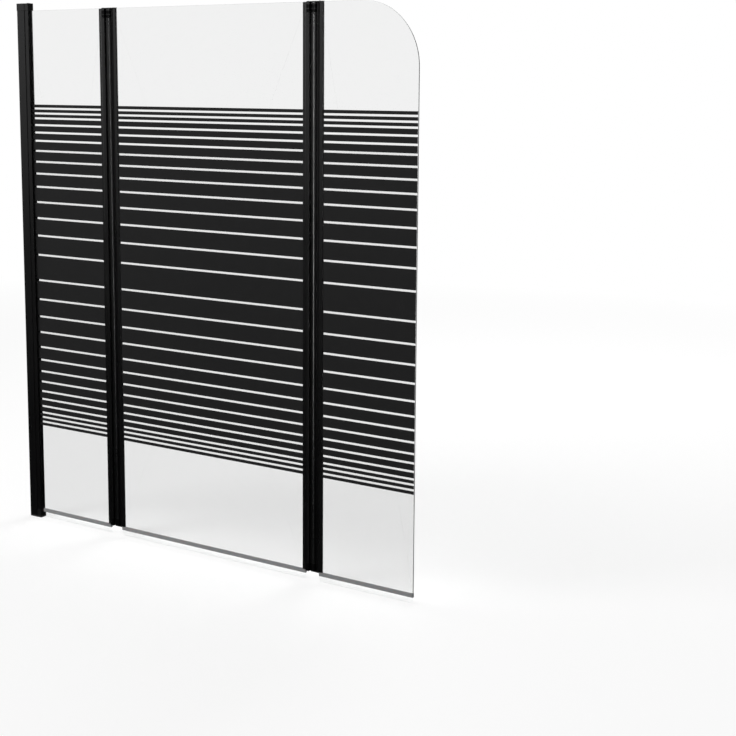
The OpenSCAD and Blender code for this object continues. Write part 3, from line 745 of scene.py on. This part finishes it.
def dress(node, shells, steps=(), at=0.0, finish=None, suffix="surface"):
    """A piece that takes the place of a CAD node, with its body and finish. It is made of shells, and
    the steps are Boolean operations with their own shells, in order. All of them move along x by at."""
    name = f"{node}_{suffix}"
    mesh = mesh_of(name, shells, at)
    for operation, tools in steps:
        mesh = worked(mesh, operation, mesh_of("tool", tools, at))
    mesh.name = name
    mesh.shade_smooth()
    mesh.set_sharp_from_angle(angle=CREASE)
    mesh.materials.clear()
    mesh.materials.append(finish or finish_of(node))
    thing = placed(name, mesh)
    flats = thing.modifiers.new("flats", "WEIGHTED_NORMAL")
    flats.keep_sharp = True
    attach(thing, body_of(frame["nodes"][node])[0])
    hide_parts(node)
    low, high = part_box(node)
    own = np.array([v.co for v in mesh.vertices])
    apart = max(np.abs(own.min(0) - low).max(), np.abs(own.max(0) - high).max()) / MM
    print(f"{name}: {len(mesh.polygons)} faces, box within {apart:.2f} mm of its node")


def limits(node):
    """Lowest and highest corner of a CAD node in millimetres."""
    low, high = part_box(node)
    return np.array(low) / MM, np.array(high) / MM


def heights(node):
    """Lowest and highest z of a CAD node in millimetres."""
    return tuple(corner[2] for corner in limits(node))


print("box of the fixed glass in mm:", [corner.round(1).tolist() for corner in limits("leaf1_glass")])

# %% [markdown]
# ## The wall profile
# Two aluminium extrusions slide one in the other: a channel is screwed to the wall, and the adjusting
# profile moves out of it until it is plumb. Both have thin walls and small die radii at their corners.
# The channel has holes for the wall screws in its back and for the locking screws in its inner side.

# %% Wall channel
EXTRUSION_T = 1.5
BACK_T = 2.0
DIE_R = 0.35
SOFT_R, MOUTH_R = 0.8, 1.4
POCKET_HALF = 2.5
CHAMBER_Y = POCKET_HALF + EXTRUSION_T
WALL_HOLE_R = 3.0
WALL_HOLE_HEIGHTS = np.linspace(105.0, 1305.0, 4)
LOCK_HEIGHTS = np.linspace(135.0, 1275.0, 3)
LOCK_X = 19.25
LOCK_HOLE_R = 2.1
BEYOND = 5.0

depth, side, _ = limits("wall_channel")[1]
inner_side = side - EXTRUSION_T
channel_line = outline(
    (0.0, -side, DIE_R), (depth, -side, SOFT_R), (depth, -inner_side, DIE_R), (BACK_T, -inner_side, DIE_R),
    (BACK_T, inner_side, DIE_R), (depth, inner_side, DIE_R), (depth, side, DIE_R), (0.0, side, DIE_R),
)
wall_holes = [rod(WALL_HOLE_R, -BEYOND, BEYOND, (0, 0, z), "x") for z in WALL_HOLE_HEIGHTS]
lock_holes = [rod(LOCK_HOLE_R, CHAMBER_Y, side + MARGIN, (LOCK_X, 0, z), "y") for z in LOCK_HEIGHTS]
dress("wall_channel", [run_of(channel_line, *heights("wall_channel"))], [(CUT, wall_holes + lock_holes)])

# %% Adjusting profile
STRIP_T = 0.5
POCKET_R = 0.1

(back_x, _, adjust_foot), (mouth_x, front, adjust_top) = limits("adjusting_profile")
inner = front - EXTRUSION_T
web_x = mouth_x - EXTRUSION_T
pocket_x = limits("leaf1_glass")[0][0] - STRIP_T
adjust_line = outline(
    (back_x, -front, DIE_R), (mouth_x, -front, MOUTH_R), (mouth_x, -POCKET_HALF, DIE_R),
    (pocket_x, -POCKET_HALF, POCKET_R), (pocket_x, POCKET_HALF, POCKET_R), (mouth_x, POCKET_HALF, DIE_R),
    (mouth_x, front, DIE_R), (back_x, front, DIE_R), (back_x, inner, DIE_R),
    (pocket_x - EXTRUSION_T, inner, DIE_R), (pocket_x - EXTRUSION_T, -inner, DIE_R), (back_x, -inner, DIE_R),
)
chambers = [
    run_of(rectangle(pocket_x, web_x, *y, DIE_R), adjust_foot - BEYOND, adjust_top + BEYOND)
    for y in ((CHAMBER_Y, inner), (-inner, -CHAMBER_Y))
]
dress(
    "adjusting_profile",
    [run_of(adjust_line, adjust_foot, adjust_top)],
    [(CUT, chambers), (CUT, lock_holes)],
)

# %% [markdown]
# ### Caps of the wall profile
# A moulded cap closes the top of both extrusions and carries a low dome, and a second one sits
# round the foot of the adjusting profile. Both are open towards the wall. Mouldings have soft edges,
# so the outline moves inwards along a quarter circle near the top. It is made too long towards the
# wall and trimmed there, so that the side on the wall stays flat.

# %% Top cap
CAP_EDGE_R, CAP_FOOT_R, CAP_CORNER_R, CAP_INNER_R = 0.6, 0.2, 1.6, 0.4
CAP_T = 1.0
CAP_GAP = 0.1
CAP_PLATE_T = 2.0
DOME_R, DOME_H, DOME_ROOT = 7.0, 1.2, 1.0
ACROSS = (-50.0, 50.0)

cap_foot, dome_top = heights("wall_top_cap")
cap_top = dome_top - DOME_H


def wall_plan(grow, rounding):
    """Plan of both wall extrusions grown by a margin, drawn out behind the wall face."""
    wide, narrow, step_x = side + grow, front + grow, depth + grow
    return outline(
        (-BEYOND, -wide, 0.0), (step_x, -wide, rounding), (step_x, -narrow, rounding / 2),
        (mouth_x + grow, -narrow, rounding), (mouth_x + grow, narrow, rounding),
        (step_x, narrow, rounding / 2), (step_x, wide, rounding), (-BEYOND, wide, 0.0),
    )


dome_ball = (DOME_R**2 + DOME_H**2) / (2.0 * DOME_H)
dome_a = np.linspace(0.0, math.asin(DOME_R / dome_ball), 10)
dome_rows = [(0.0, cap_top - DOME_ROOT), (DOME_R, cap_top - DOME_ROOT)] + [
    (dome_ball * math.sin(a), dome_top - dome_ball * (1.0 - math.cos(a))) for a in dome_a[::-1]
]
cap_plan, cap_hollow = wall_plan(CAP_GAP + CAP_T, CAP_CORNER_R), wall_plan(CAP_GAP, CAP_INNER_R)
dress(
    "wall_top_cap",
    [rounded_run(cap_plan, cap_foot, cap_top, CAP_FOOT_R, CAP_EDGE_R)],
    [
        (JOIN, [turned(dome_rows, ((depth + mouth_x) / 2, 0.0, 0.0))]),
        (CUT, [run_of(cap_hollow, cap_foot - BEYOND, cap_top - CAP_PLATE_T)]),
        (CUT, [block((-4 * BEYOND, 0.0), ACROSS, (cap_foot - BEYOND, dome_top + BEYOND))]),
    ],
)

# %% Foot cap
SLOT_HALF = 3.3
SEAL_FLOOR_T = 2.0
FOOT_EDGE_R, FOOT_TOP_R, PEG_R, PEG_TOP_R, PEG_ROOT = 0.8, 0.3, 0.3, 0.4, 0.5

(foot_x0, foot_y0, _), (foot_x1, foot_y1, foot_top) = limits("wall_foot_cap")
seal_foot = heights("leaf1_glass")[0] - SEAL_FLOOR_T
above = foot_top + BEYOND
foot_outer = rectangle(foot_x0 - BEYOND, foot_x1, foot_y0, foot_y1, CAP_CORNER_R)
foot_inner = (foot_x0 - 2 * BEYOND, mouth_x + CAP_GAP)
foot_sides = (-front - CAP_GAP, front + CAP_GAP)
foot_slot = (mouth_x - MARGIN, foot_x1 + MARGIN)
peg_x = (pocket_x + CAP_GAP, web_x - CAP_GAP)
peg_y = (CHAMBER_Y + CAP_GAP, inner - CAP_GAP)
peg_z = (CAP_PLATE_T - PEG_ROOT, foot_top / 2 + CAP_PLATE_T)
pegs = [
    rounded_run(rectangle(*peg_x, *y, PEG_R), *peg_z, 0.0, PEG_TOP_R) for y in (peg_y, (-peg_y[1], -peg_y[0]))
]
dress(
    "wall_foot_cap",
    [rounded_run(foot_outer, 0.0, foot_top, FOOT_EDGE_R, FOOT_TOP_R)],
    [
        (CUT, [block(foot_inner, foot_sides, (CAP_PLATE_T, above))]),
        (CUT, [block(foot_slot, (-SLOT_HALF, SLOT_HALF), (seal_foot - MARGIN, above))]),
        (CUT, [block((foot_x0 - 3 * BEYOND, foot_x0), ACROSS, (-BEYOND, above))]),
        (JOIN, pegs),
    ],
)

# %% [markdown]
# ### Screws
# All the screws are pan heads with a hexagon socket. A hexagon is a radius too: at the angle a it is the
# apothem divided by the cosine of the angle to the nearest flat's middle. So the whole screw is one
# profile carried round its axis, from its tip to the floor of the socket. The pan is given as shares of
# the head's radius at shares of its height.

# %% Screw shapes
SOCKET_STEPS = 48
PAN = ((1.0, 0.0), (1.0, 0.45), (0.96, 0.72), (0.84, 0.92), (0.66, 1.0))
around = np.linspace(0.0, 2.0 * np.pi, SOCKET_STEPS, endpoint=False)
to_flat = (around + np.pi / 6.0) % (np.pi / 3.0) - np.pi / 6.0


def screw(place, way, shank_l, shank_r, head_r, head_h, socket, run="z"):
    """Pan-head screw with the underside of its head at place, and way +1 if the head is on the high side."""
    hexagon = socket / np.cos(to_flat)
    rows = [(0.0, -shank_l), (shank_r * 0.6, -shank_l), (shank_r, -shank_l + shank_r * 0.5), (shank_r, 0.0)]
    rows += [(head_r * r, head_h * h) for r, h in PAN]
    rows += [(hexagon * 1.04, head_h), (hexagon, head_h - 0.08), (hexagon, head_h * 0.25)]
    rows += [(0.0, head_h * 0.15)]
    return turned([(r, way * h) for r, h in rows], place, run, SOCKET_STEPS)


LOCK_SCREW = {"shank_l": 6.0, "shank_r": 1.9, "head_r": 3.8, "head_h": 2.2, "socket": 1.6}
dress("locking_screws", [screw((LOCK_X, side, z), 1.0, **LOCK_SCREW, run="y") for z in LOCK_HEIGHTS])

# %% Screw covers
COVER_R, COVER_H, COVER_ROUND = 5.4, 3.6, 1.1
COVER_INNER_R, COVER_INNER_H = 4.1, 2.5
cover_round = bend((COVER_R - COVER_ROUND, COVER_H - COVER_ROUND), COVER_ROUND, 0.0, 70.0, 6)
cover_rows = [(0.0, 0.0), (COVER_R, 0.0)] + [(r, h) for r, h, _ in cover_round]
cover_rows += [(COVER_R * 0.45, COVER_H - 0.02), (0.0, COVER_H)]
places = [(LOCK_X, side, z) for z in LOCK_HEIGHTS]
dress(
    "screw_covers",
    [turned(cover_rows, place, "y", 64) for place in places],
    [(CUT, [rod(COVER_INNER_R, -MARGIN, COVER_INNER_H, place, "y", 64) for place in places])],
)

# %% [markdown]
# ## The hinges
# Each hinge is two extrusions. The fixed one holds the glass on the left and has a rounded face, an open
# gutter and a jaw for a soft strip. The moving one holds the glass on the right and carries the barrel,
# which turns in that jaw. At both ends a moulded block takes the place of the jaw and holds a steel pin,
# which turns in a bush in the barrel. The axis lies 4 mm from the middle of the glass, on its folding side.

# %% Sizes that both hinge profiles share
AXIS_Y = 4.0
AXIS = (0.0, AXIS_Y)
BARREL_R = 8.0
JAW_R = 8.35
HALF = 3.7
LIP_X = 28.0
MOVING_LIP_X = 29.2
LIP_START_X = 20.6
POCKET_END_X = 19.8
LIP_R = 0.2
CROWN_START, CROWN_END, CROWN_MID, CROWN_H = 22.5, 7.5, 14.5, 3.4
CROWN_Y = -HALF - CROWN_H
CROWN_R = ((CROWN_START - CROWN_MID) ** 2 + CROWN_H**2) / (2.0 * CROWN_H)
CROWN_FLAT_R, CROWN_SOFT = 28.0, 0.3
GUTTER_X, GUTTER_FOOT, GUTTER_TOP, GUTTER_R = 9.5, -3.4, 0.6, 0.15
GROOVE_X, GROOVE_Y0, GROOVE_Y1, GROOVE_R = 10.6, 1.3, 2.9, 0.1
PORT_R = 1.45
BLOCK_PORTS, CAP_PORT = ((-12.6, 1.2), (-12.4, -4.6)), (16.1, 1.7)
hinge_x = {f"hinge{i}": joint["pos_m"][0] / MM for i, joint in enumerate(frame["joints"], 1)}
print("hinge axes at x =", {name: round(x, 1) for name, x in hinge_x.items()})


def degrees_at(x, y):
    """Angle round the hinge axis of a point of the section."""
    return math.degrees(math.atan2(y - AXIS_Y, x))


def x_on_circle(radius, y):
    """How far a circle round the hinge axis reaches at the height y of the section."""
    return math.sqrt(radius**2 - (y - AXIS_Y) ** 2)

# %% Section of the fixed profile
jaw_a = [degrees_at(-x_on_circle(JAW_R, y), y) for y in (HALF, GROOVE_Y1, GROOVE_Y0, GUTTER_TOP)]
crown_left = (-CROWN_MID, CROWN_Y + CROWN_R)
crown_right = (-CROWN_MID, CROWN_Y + CROWN_FLAT_R)
left_angle = 270.0 - math.degrees(math.asin((CROWN_START - CROWN_MID) / CROWN_R))
right_angle = 270.0 + math.degrees(math.asin((CROWN_MID - CROWN_END) / CROWN_FLAT_R))
fixed_line = outline(
    (-LIP_X, HALF, DIE_R),
    (-LIP_X, POCKET_HALF, LIP_R), (-POCKET_END_X, POCKET_HALF, POCKET_R),
    (-POCKET_END_X, -POCKET_HALF, POCKET_R), (-LIP_X, -POCKET_HALF, LIP_R),
    (-LIP_X, -HALF, DIE_R),
    bend(crown_left, CROWN_R, left_angle, 270.0, 16, CROWN_SOFT)[:-1],
    bend(crown_right, CROWN_FLAT_R, 270.0, right_angle, 10, CROWN_SOFT),
    (-CROWN_END, GUTTER_FOOT, GUTTER_R), (-GUTTER_X, GUTTER_FOOT, GUTTER_R),
    (-GUTTER_X, GUTTER_TOP, GUTTER_R), bend(AXIS, JAW_R, jaw_a[3], jaw_a[2], 3, GROOVE_R),
    (-GROOVE_X, GROOVE_Y0, GROOVE_R), (-GROOVE_X, GROOVE_Y1, GROOVE_R),
    bend(AXIS, JAW_R, jaw_a[1], jaw_a[0], 3, GROOVE_R),
)
print("fixed section:", len(fixed_line), "points")

# %% Section of the moving profile
WEB_FRONT = 2.6
KNEE, KNEE_R = (12.4, 1.7), 0.6
barrel_start = degrees_at(x_on_circle(BARREL_R, HALF), HALF)
barrel_end = degrees_at(x_on_circle(BARREL_R, WEB_FRONT), WEB_FRONT) + 360.0
moving_line = outline(
    (MOVING_LIP_X, HALF, DIE_R),
    bend(AXIS, BARREL_R, barrel_start, barrel_end, 90, GROOVE_R),
    (*KNEE, KNEE_R), (LIP_START_X, -HALF, KNEE_R),
    (MOVING_LIP_X, -HALF, DIE_R),
    (MOVING_LIP_X, -POCKET_HALF, LIP_R), (POCKET_END_X, -POCKET_HALF, POCKET_R),
    (POCKET_END_X, POCKET_HALF, POCKET_R), (MOVING_LIP_X, POCKET_HALF, LIP_R),
)
print("moving section:", len(moving_line), "points")

# %% [markdown]
# ### Cutting the fixed profile
# The chamber behind the glass pocket and the two screw ports run through the whole length. At both ends the
# saw takes away everything from the chamber wall to the barrel, to make room for the blocks.

# %% Both hinge profiles
BLOCK_X = 15.2
CHAMBER = (-17.8, -16.2, -5.7, 2.3)
CHAMBER_R = 0.3
CLEAR_R = BARREL_R + 0.7
BUSH_BORE_R = 5.07
BUSH_STEP = 1.2
profile_foot, profile_top = heights("hinge1_fixed_profile")
foot_outer_z, foot_inner_z = heights("hinge1_foot_block")
top_inner_z, top_outer_z = heights("hinge1_top_block")
barrel_foot, barrel_top = foot_inner_z + BUSH_STEP, top_inner_z - BUSH_STEP
through = (profile_foot - BEYOND, profile_top + BEYOND)
print("profiles from", round(profile_foot, 1), "to", round(profile_top, 1))


def drill(centre, radius, z0, z1, points=32):
    """Cylinder along z for a bore."""
    return rod(radius, z0, z1, (*centre, 0.0), "z", points)


def dress_both(part, shells, steps=()):
    """The same piece at both hinges."""
    for hinge, x in hinge_x.items():
        dress(f"{hinge}_{part}", shells, steps, x)


saw_cuts = [
    block((-BLOCK_X, BLOCK_X), ACROSS, z) for z in ((through[0], foot_inner_z), (top_inner_z, through[1]))
]
fixed_bores = [run_of(rectangle(*CHAMBER, CHAMBER_R), *through)]
fixed_bores += [drill(port, PORT_R, *through) for port in BLOCK_PORTS]
barrel_cuts = [drill(AXIS, CLEAR_R, *z, 96) for z in ((through[0], barrel_foot), (barrel_top, through[1]))]
moving_bores = [drill(AXIS, BUSH_BORE_R, *through, 64), drill(CAP_PORT, PORT_R, *through)]
for part, line, cuts, bores in (
    ("fixed", fixed_line, saw_cuts, fixed_bores), ("moving", moving_line, barrel_cuts, moving_bores),
):
    stock = run_of(line, profile_foot, profile_top)
    dress_both(f"{part}_profile", [stock], [(CUT, cuts), (CUT, bores)])

# %% [markdown]
# ### Hinge blocks
# Each block is one moulding: an arm that fills the end of the fixed profile, and a round knuckle that looks
# like the barrel going on. Its inner corner is rounded so that it leaves the rounded face softly. A pin is
# pressed through the knuckle and two screws hold the arm; their heads sit in seats.

# %% Hinge blocks
BLOCK_FACE_Y = CROWN_Y - 0.4
ARM_X = BLOCK_X - 0.02
BLOCK_ROUND = 4.0
SEAT_R, SEAT_DEPTH = 2.35, 3.0
PIN_HOLE_R = 3.02
RECESS = 1.0
STEP, STEP_R = 0.05, 0.4
CORNER_SOFT, TOP_SOFT, FOOT_SOFT = 0.9, 0.7, 0.2


def block_line(recess):
    """Section of a block, set back by recess: arm, gutter and round knuckle in one outline."""
    knuckle_r = BARREL_R - recess
    face_y = BLOCK_FACE_Y + recess
    start, end = (degrees_at(-x_on_circle(knuckle_r, y), y) for y in (GUTTER_TOP, HALF))
    return outline(
        (-ARM_X, HALF, CORNER_SOFT), (-ARM_X, face_y, CORNER_SOFT), (-CROWN_END, face_y, CORNER_SOFT),
        (-CROWN_END, GUTTER_TOP, GROOVE_R), bend(AXIS, knuckle_r, start, end + 360.0, 84, GROOVE_R),
    )


def top_block(z0, z1):
    """The top block from its foot up. The body is set back; the rib and the band come out to the full section
    along a quarter circle, where the recess is r (1 - sin a) and the height r (1 - cos a)."""
    a = np.radians(np.linspace(0.0, 90.0, 5))
    out = list(zip(STEP_R * (1.0 - np.sin(a)), STEP_R * (1.0 - np.cos(a))))
    body, full = block_line(RECESS), block_line(0.0)
    rib, rib_end, band = z0 + RIB_Z, z0 + RIB_Z + RIB_H, z1 - BAND_H
    rows = [(inset(body, FOOT_SOFT), z0), (body, z0 + FOOT_SOFT), (body, rib - STEP)]
    rows += [(block_line(r), rib + h) for r, h in out]
    rows += [(block_line(r), rib_end - h) for r, h in out[::-1]]
    rows += [(body, rib_end + STEP), (body, band - STEP)]
    rows += [(block_line(r), band + h) for r, h in out]
    rows += [(inset(full, TOP_SOFT * (1.0 - math.cos(t))), z1 - TOP_SOFT * (1.0 - math.sin(t))) for t in a]
    return carried([row[0] for row in rows], [row[1] for row in rows])


def block_steps(outer, inner):
    """Cuts of a block: its rounded inner corner, the bores of the pin and screws, and the screws' seats."""
    way = math.copysign(1.0, outer - inner)
    centre_x = -ARM_X + BLOCK_ROUND
    corner = outline(
        (-ARM_X - MARGIN, inner - way, 0.0), (centre_x, inner - way, 0.0),
        bend((centre_x, inner + way * BLOCK_ROUND), BLOCK_ROUND, -way * 90.0, -way * 180.0, 12),
        (-ARM_X - MARGIN, inner + way * BLOCK_ROUND, 0.0),
    )
    whole = (min(outer, inner) - MARGIN, max(outer, inner) + MARGIN)
    seat = sorted((outer - way * SEAT_DEPTH, outer + way))
    return [
        (CUT, [run_of(corner, *ACROSS, "y")]),
        (CUT, [drill(AXIS, PIN_HOLE_R, *whole, 48)] + [drill(port, PORT_R, *whole) for port in BLOCK_PORTS]),
        (CUT, [drill(port, SEAT_R, *seat) for port in BLOCK_PORTS]),
    ]


foot_block = rounded_run(block_line(0.0), foot_outer_z, foot_inner_z, TOP_SOFT, FOOT_SOFT)
dress_both("top_block", [top_block(top_inner_z, top_outer_z)], block_steps(top_outer_z, top_inner_z))
dress_both("foot_block", [foot_block], block_steps(foot_outer_z, foot_inner_z))

# %% [markdown]
# ### Pins, bushes and screws
# The pins are turned steel with a small chamfer at each end. The bushes are flanged, and the flange takes
# the weight of the leaf between the block and the barrel.

# %% Pins, bushes and screws
PIN_R, PIN_L, PIN_CHAMFER = 3.0, 45.0, 0.5
BUSH_R, BUSH_BORE, BUSH_L, FLANGE_R, FLANGE_T = 5.05, 3.05, 22.0, 7.6, 1.0
HINGE_SCREW = {"shank_r": 1.4, "head_r": 2.2, "head_h": 1.4, "socket": 1.0}
BLOCK_SCREW_L, CAP_SCREW_L = 30.0, 15.0
END_CAP_T = 2.0


def pin(z0, z1):
    """Pin with chamfered ends: the radius grows with the height near its ends."""
    near, far = PIN_R - PIN_CHAMFER, PIN_CHAMFER
    rows = [(0.0, z0), (near, z0), (PIN_R, z0 + far), (PIN_R, z1 - far), (near, z1), (0.0, z1)]
    return turned(rows, (*AXIS, 0.0))


def bush(z, way):
    """Flanged bush with its flange beyond z and its sleeve inside the barrel."""
    rows = [
        (BUSH_BORE, -BUSH_L, 0.2), (BUSH_R, -BUSH_L, 0.4), (BUSH_R, 0.0, 0.1), (FLANGE_R, 0.0, 0.15),
        (FLANGE_R, FLANGE_T, 0.25), (BUSH_BORE, FLANGE_T, 0.25),
    ]
    return ring_turned([(r, way * h, rounding) for r, h, rounding in rows], (*AXIS, z))


seats = ((top_outer_z - SEAT_DEPTH, 1.0), (foot_outer_z + SEAT_DEPTH, -1.0))
cap_faces = ((profile_top + END_CAP_T, 1.0), (profile_foot - END_CAP_T, -1.0))
dress_both("pins", [pin(top_outer_z - PIN_L, top_outer_z), pin(foot_outer_z, foot_outer_z + PIN_L)])
dress_both("bushes", [bush(barrel_top, 1.0), bush(barrel_foot, -1.0)])
dress_both(
    "block_screws",
    [screw((*port, z), way, BLOCK_SCREW_L, **HINGE_SCREW) for port in BLOCK_PORTS for z, way in seats],
)
dress_both("cap_screws", [screw((*CAP_PORT, z), way, CAP_SCREW_L, **HINGE_SCREW) for z, way in cap_faces])

# %% [markdown]
# ### End caps of the moving profile
# A thin moulded plate closes each end of the moving profile. At the top it goes round the glass, and at
# the foot it stops at the end of the seal.

# %% End caps
GLASS_HALF = 2.0
CAP_SLOT_HALF = GLASS_HALF + CAP_GAP
CAP_END_X = 20.2
END_R, END_EDGE_R = 0.4, 0.35
cap_start, cap_end = (degrees_at(x_on_circle(CLEAR_R, y), y) for y in (HALF, -HALF))
cap_curve = bend(AXIS, CLEAR_R, cap_start, cap_end, 16, END_R)
top_cap_line = outline(
    (MOVING_LIP_X, HALF, END_R), cap_curve, (MOVING_LIP_X, -HALF, END_R),
    (MOVING_LIP_X, -CAP_SLOT_HALF, END_R), (CAP_END_X, -CAP_SLOT_HALF, POCKET_R),
    (CAP_END_X, CAP_SLOT_HALF, POCKET_R), (MOVING_LIP_X, CAP_SLOT_HALF, END_R),
)
foot_cap_line = outline((CAP_END_X, HALF, END_R), cap_curve, (CAP_END_X, -HALF, END_R))
end_caps = [
    rounded_run(top_cap_line, profile_top, profile_top + END_CAP_T, 0.0, END_EDGE_R),
    rounded_run(foot_cap_line, profile_foot - END_CAP_T, profile_foot, END_EDGE_R, 0.0),
]
dress_both("end_caps", end_caps, [(CUT, [drill(CAP_PORT, PORT_R, *through)])])

# %% [markdown]
# ## The glass
# Toughened glass has ground edges with a small flat, or arris, along both corners, because a sharp edge
# would break in the oven. The sheet is its outline in the upright plane, carried through the thickness
# and moved inwards by the arris at both faces.

# %% Glass sheets
LEAVES = ("leaf1", "leaf2", "leaf3")
ARRIS = 0.5
CORNER_R = 150.0
SHEET_R = 0.4
for leaf in LEAVES:
    (x0, _, z0), (x1, _, z1) = limits(f"{leaf}_glass")
    corner = [(x1, z1, SHEET_R)]
    if leaf == LEAVES[-1]:
        corner = [bend((x1 - CORNER_R, z1 - CORNER_R), CORNER_R, 0.0, 90.0, 72)]
    sheet = outline((x0, z0, SHEET_R), (x1, z0, SHEET_R), *corner, (x0, z1, SHEET_R))
    faces_y = (-GLASS_HALF, -GLASS_HALF + ARRIS, GLASS_HALF - ARRIS, GLASS_HALF)
    dress(f"{leaf}_glass", [carried([inset(sheet, ARRIS), sheet, sheet, inset(sheet, ARRIS)], faces_y, "y")])

# %% [markdown]
# ## Bottom seals
# Each leaf has a seal along its foot: a stiffer grey clip that grips the glass, and a soft clear fin that
# leans inwards and closes the gap under the leaf. Both are one extrusion of two vinyls.

# %% Bottom seals
SEAL_HALF, SEAL_R, SEAL_MOUTH_R, SEAL_INNER_R = 3.2, 0.5, 0.3, 0.1
FIN_T, FIN_ROOT_H, FIN_ROOT_Y, FIN_REACH = 1.0, 3.0, 0.9, 3.6
FIN_OUTER_R, FIN_INNER_R, FIN_TIP_R = 1.5, 2.0, 0.2
for leaf in LEAVES:
    (x0, _, foot), (x1, _, top) = limits(f"{leaf}_bottom_seal")
    glass_low = heights(f"{leaf}_glass")[0]
    clip_foot = glass_low - SEAL_FLOOR_T
    bend_z = clip_foot - FIN_ROOT_H
    clip = outline(
        (-SEAL_HALF, clip_foot, SEAL_R), (SEAL_HALF, clip_foot, SEAL_R), (SEAL_HALF, top, SEAL_R),
        (GLASS_HALF, top, SEAL_MOUTH_R), (GLASS_HALF, glass_low, SEAL_INNER_R),
        (-GLASS_HALF, glass_low, SEAL_INNER_R), (-GLASS_HALF, top, SEAL_MOUTH_R), (-SEAL_HALF, top, SEAL_R),
    )
    fin = outline(
        (-FIN_T / 2, clip_foot, 0.0), (-FIN_T / 2, bend_z, FIN_OUTER_R),
        (FIN_REACH - FIN_T, foot, FIN_TIP_R), (FIN_REACH, foot, FIN_TIP_R),
        (FIN_ROOT_Y, bend_z, FIN_INNER_R), (FIN_ROOT_Y, clip_foot, 0.0),
    )
    dress(f"{leaf}_bottom_seal", [run_of(clip, x0, x1, "x")], suffix="clip")
    dress(f"{leaf}_bottom_seal", [run_of(fin, x0, x1, "x")], finish=clear_vinyl, suffix="fin")
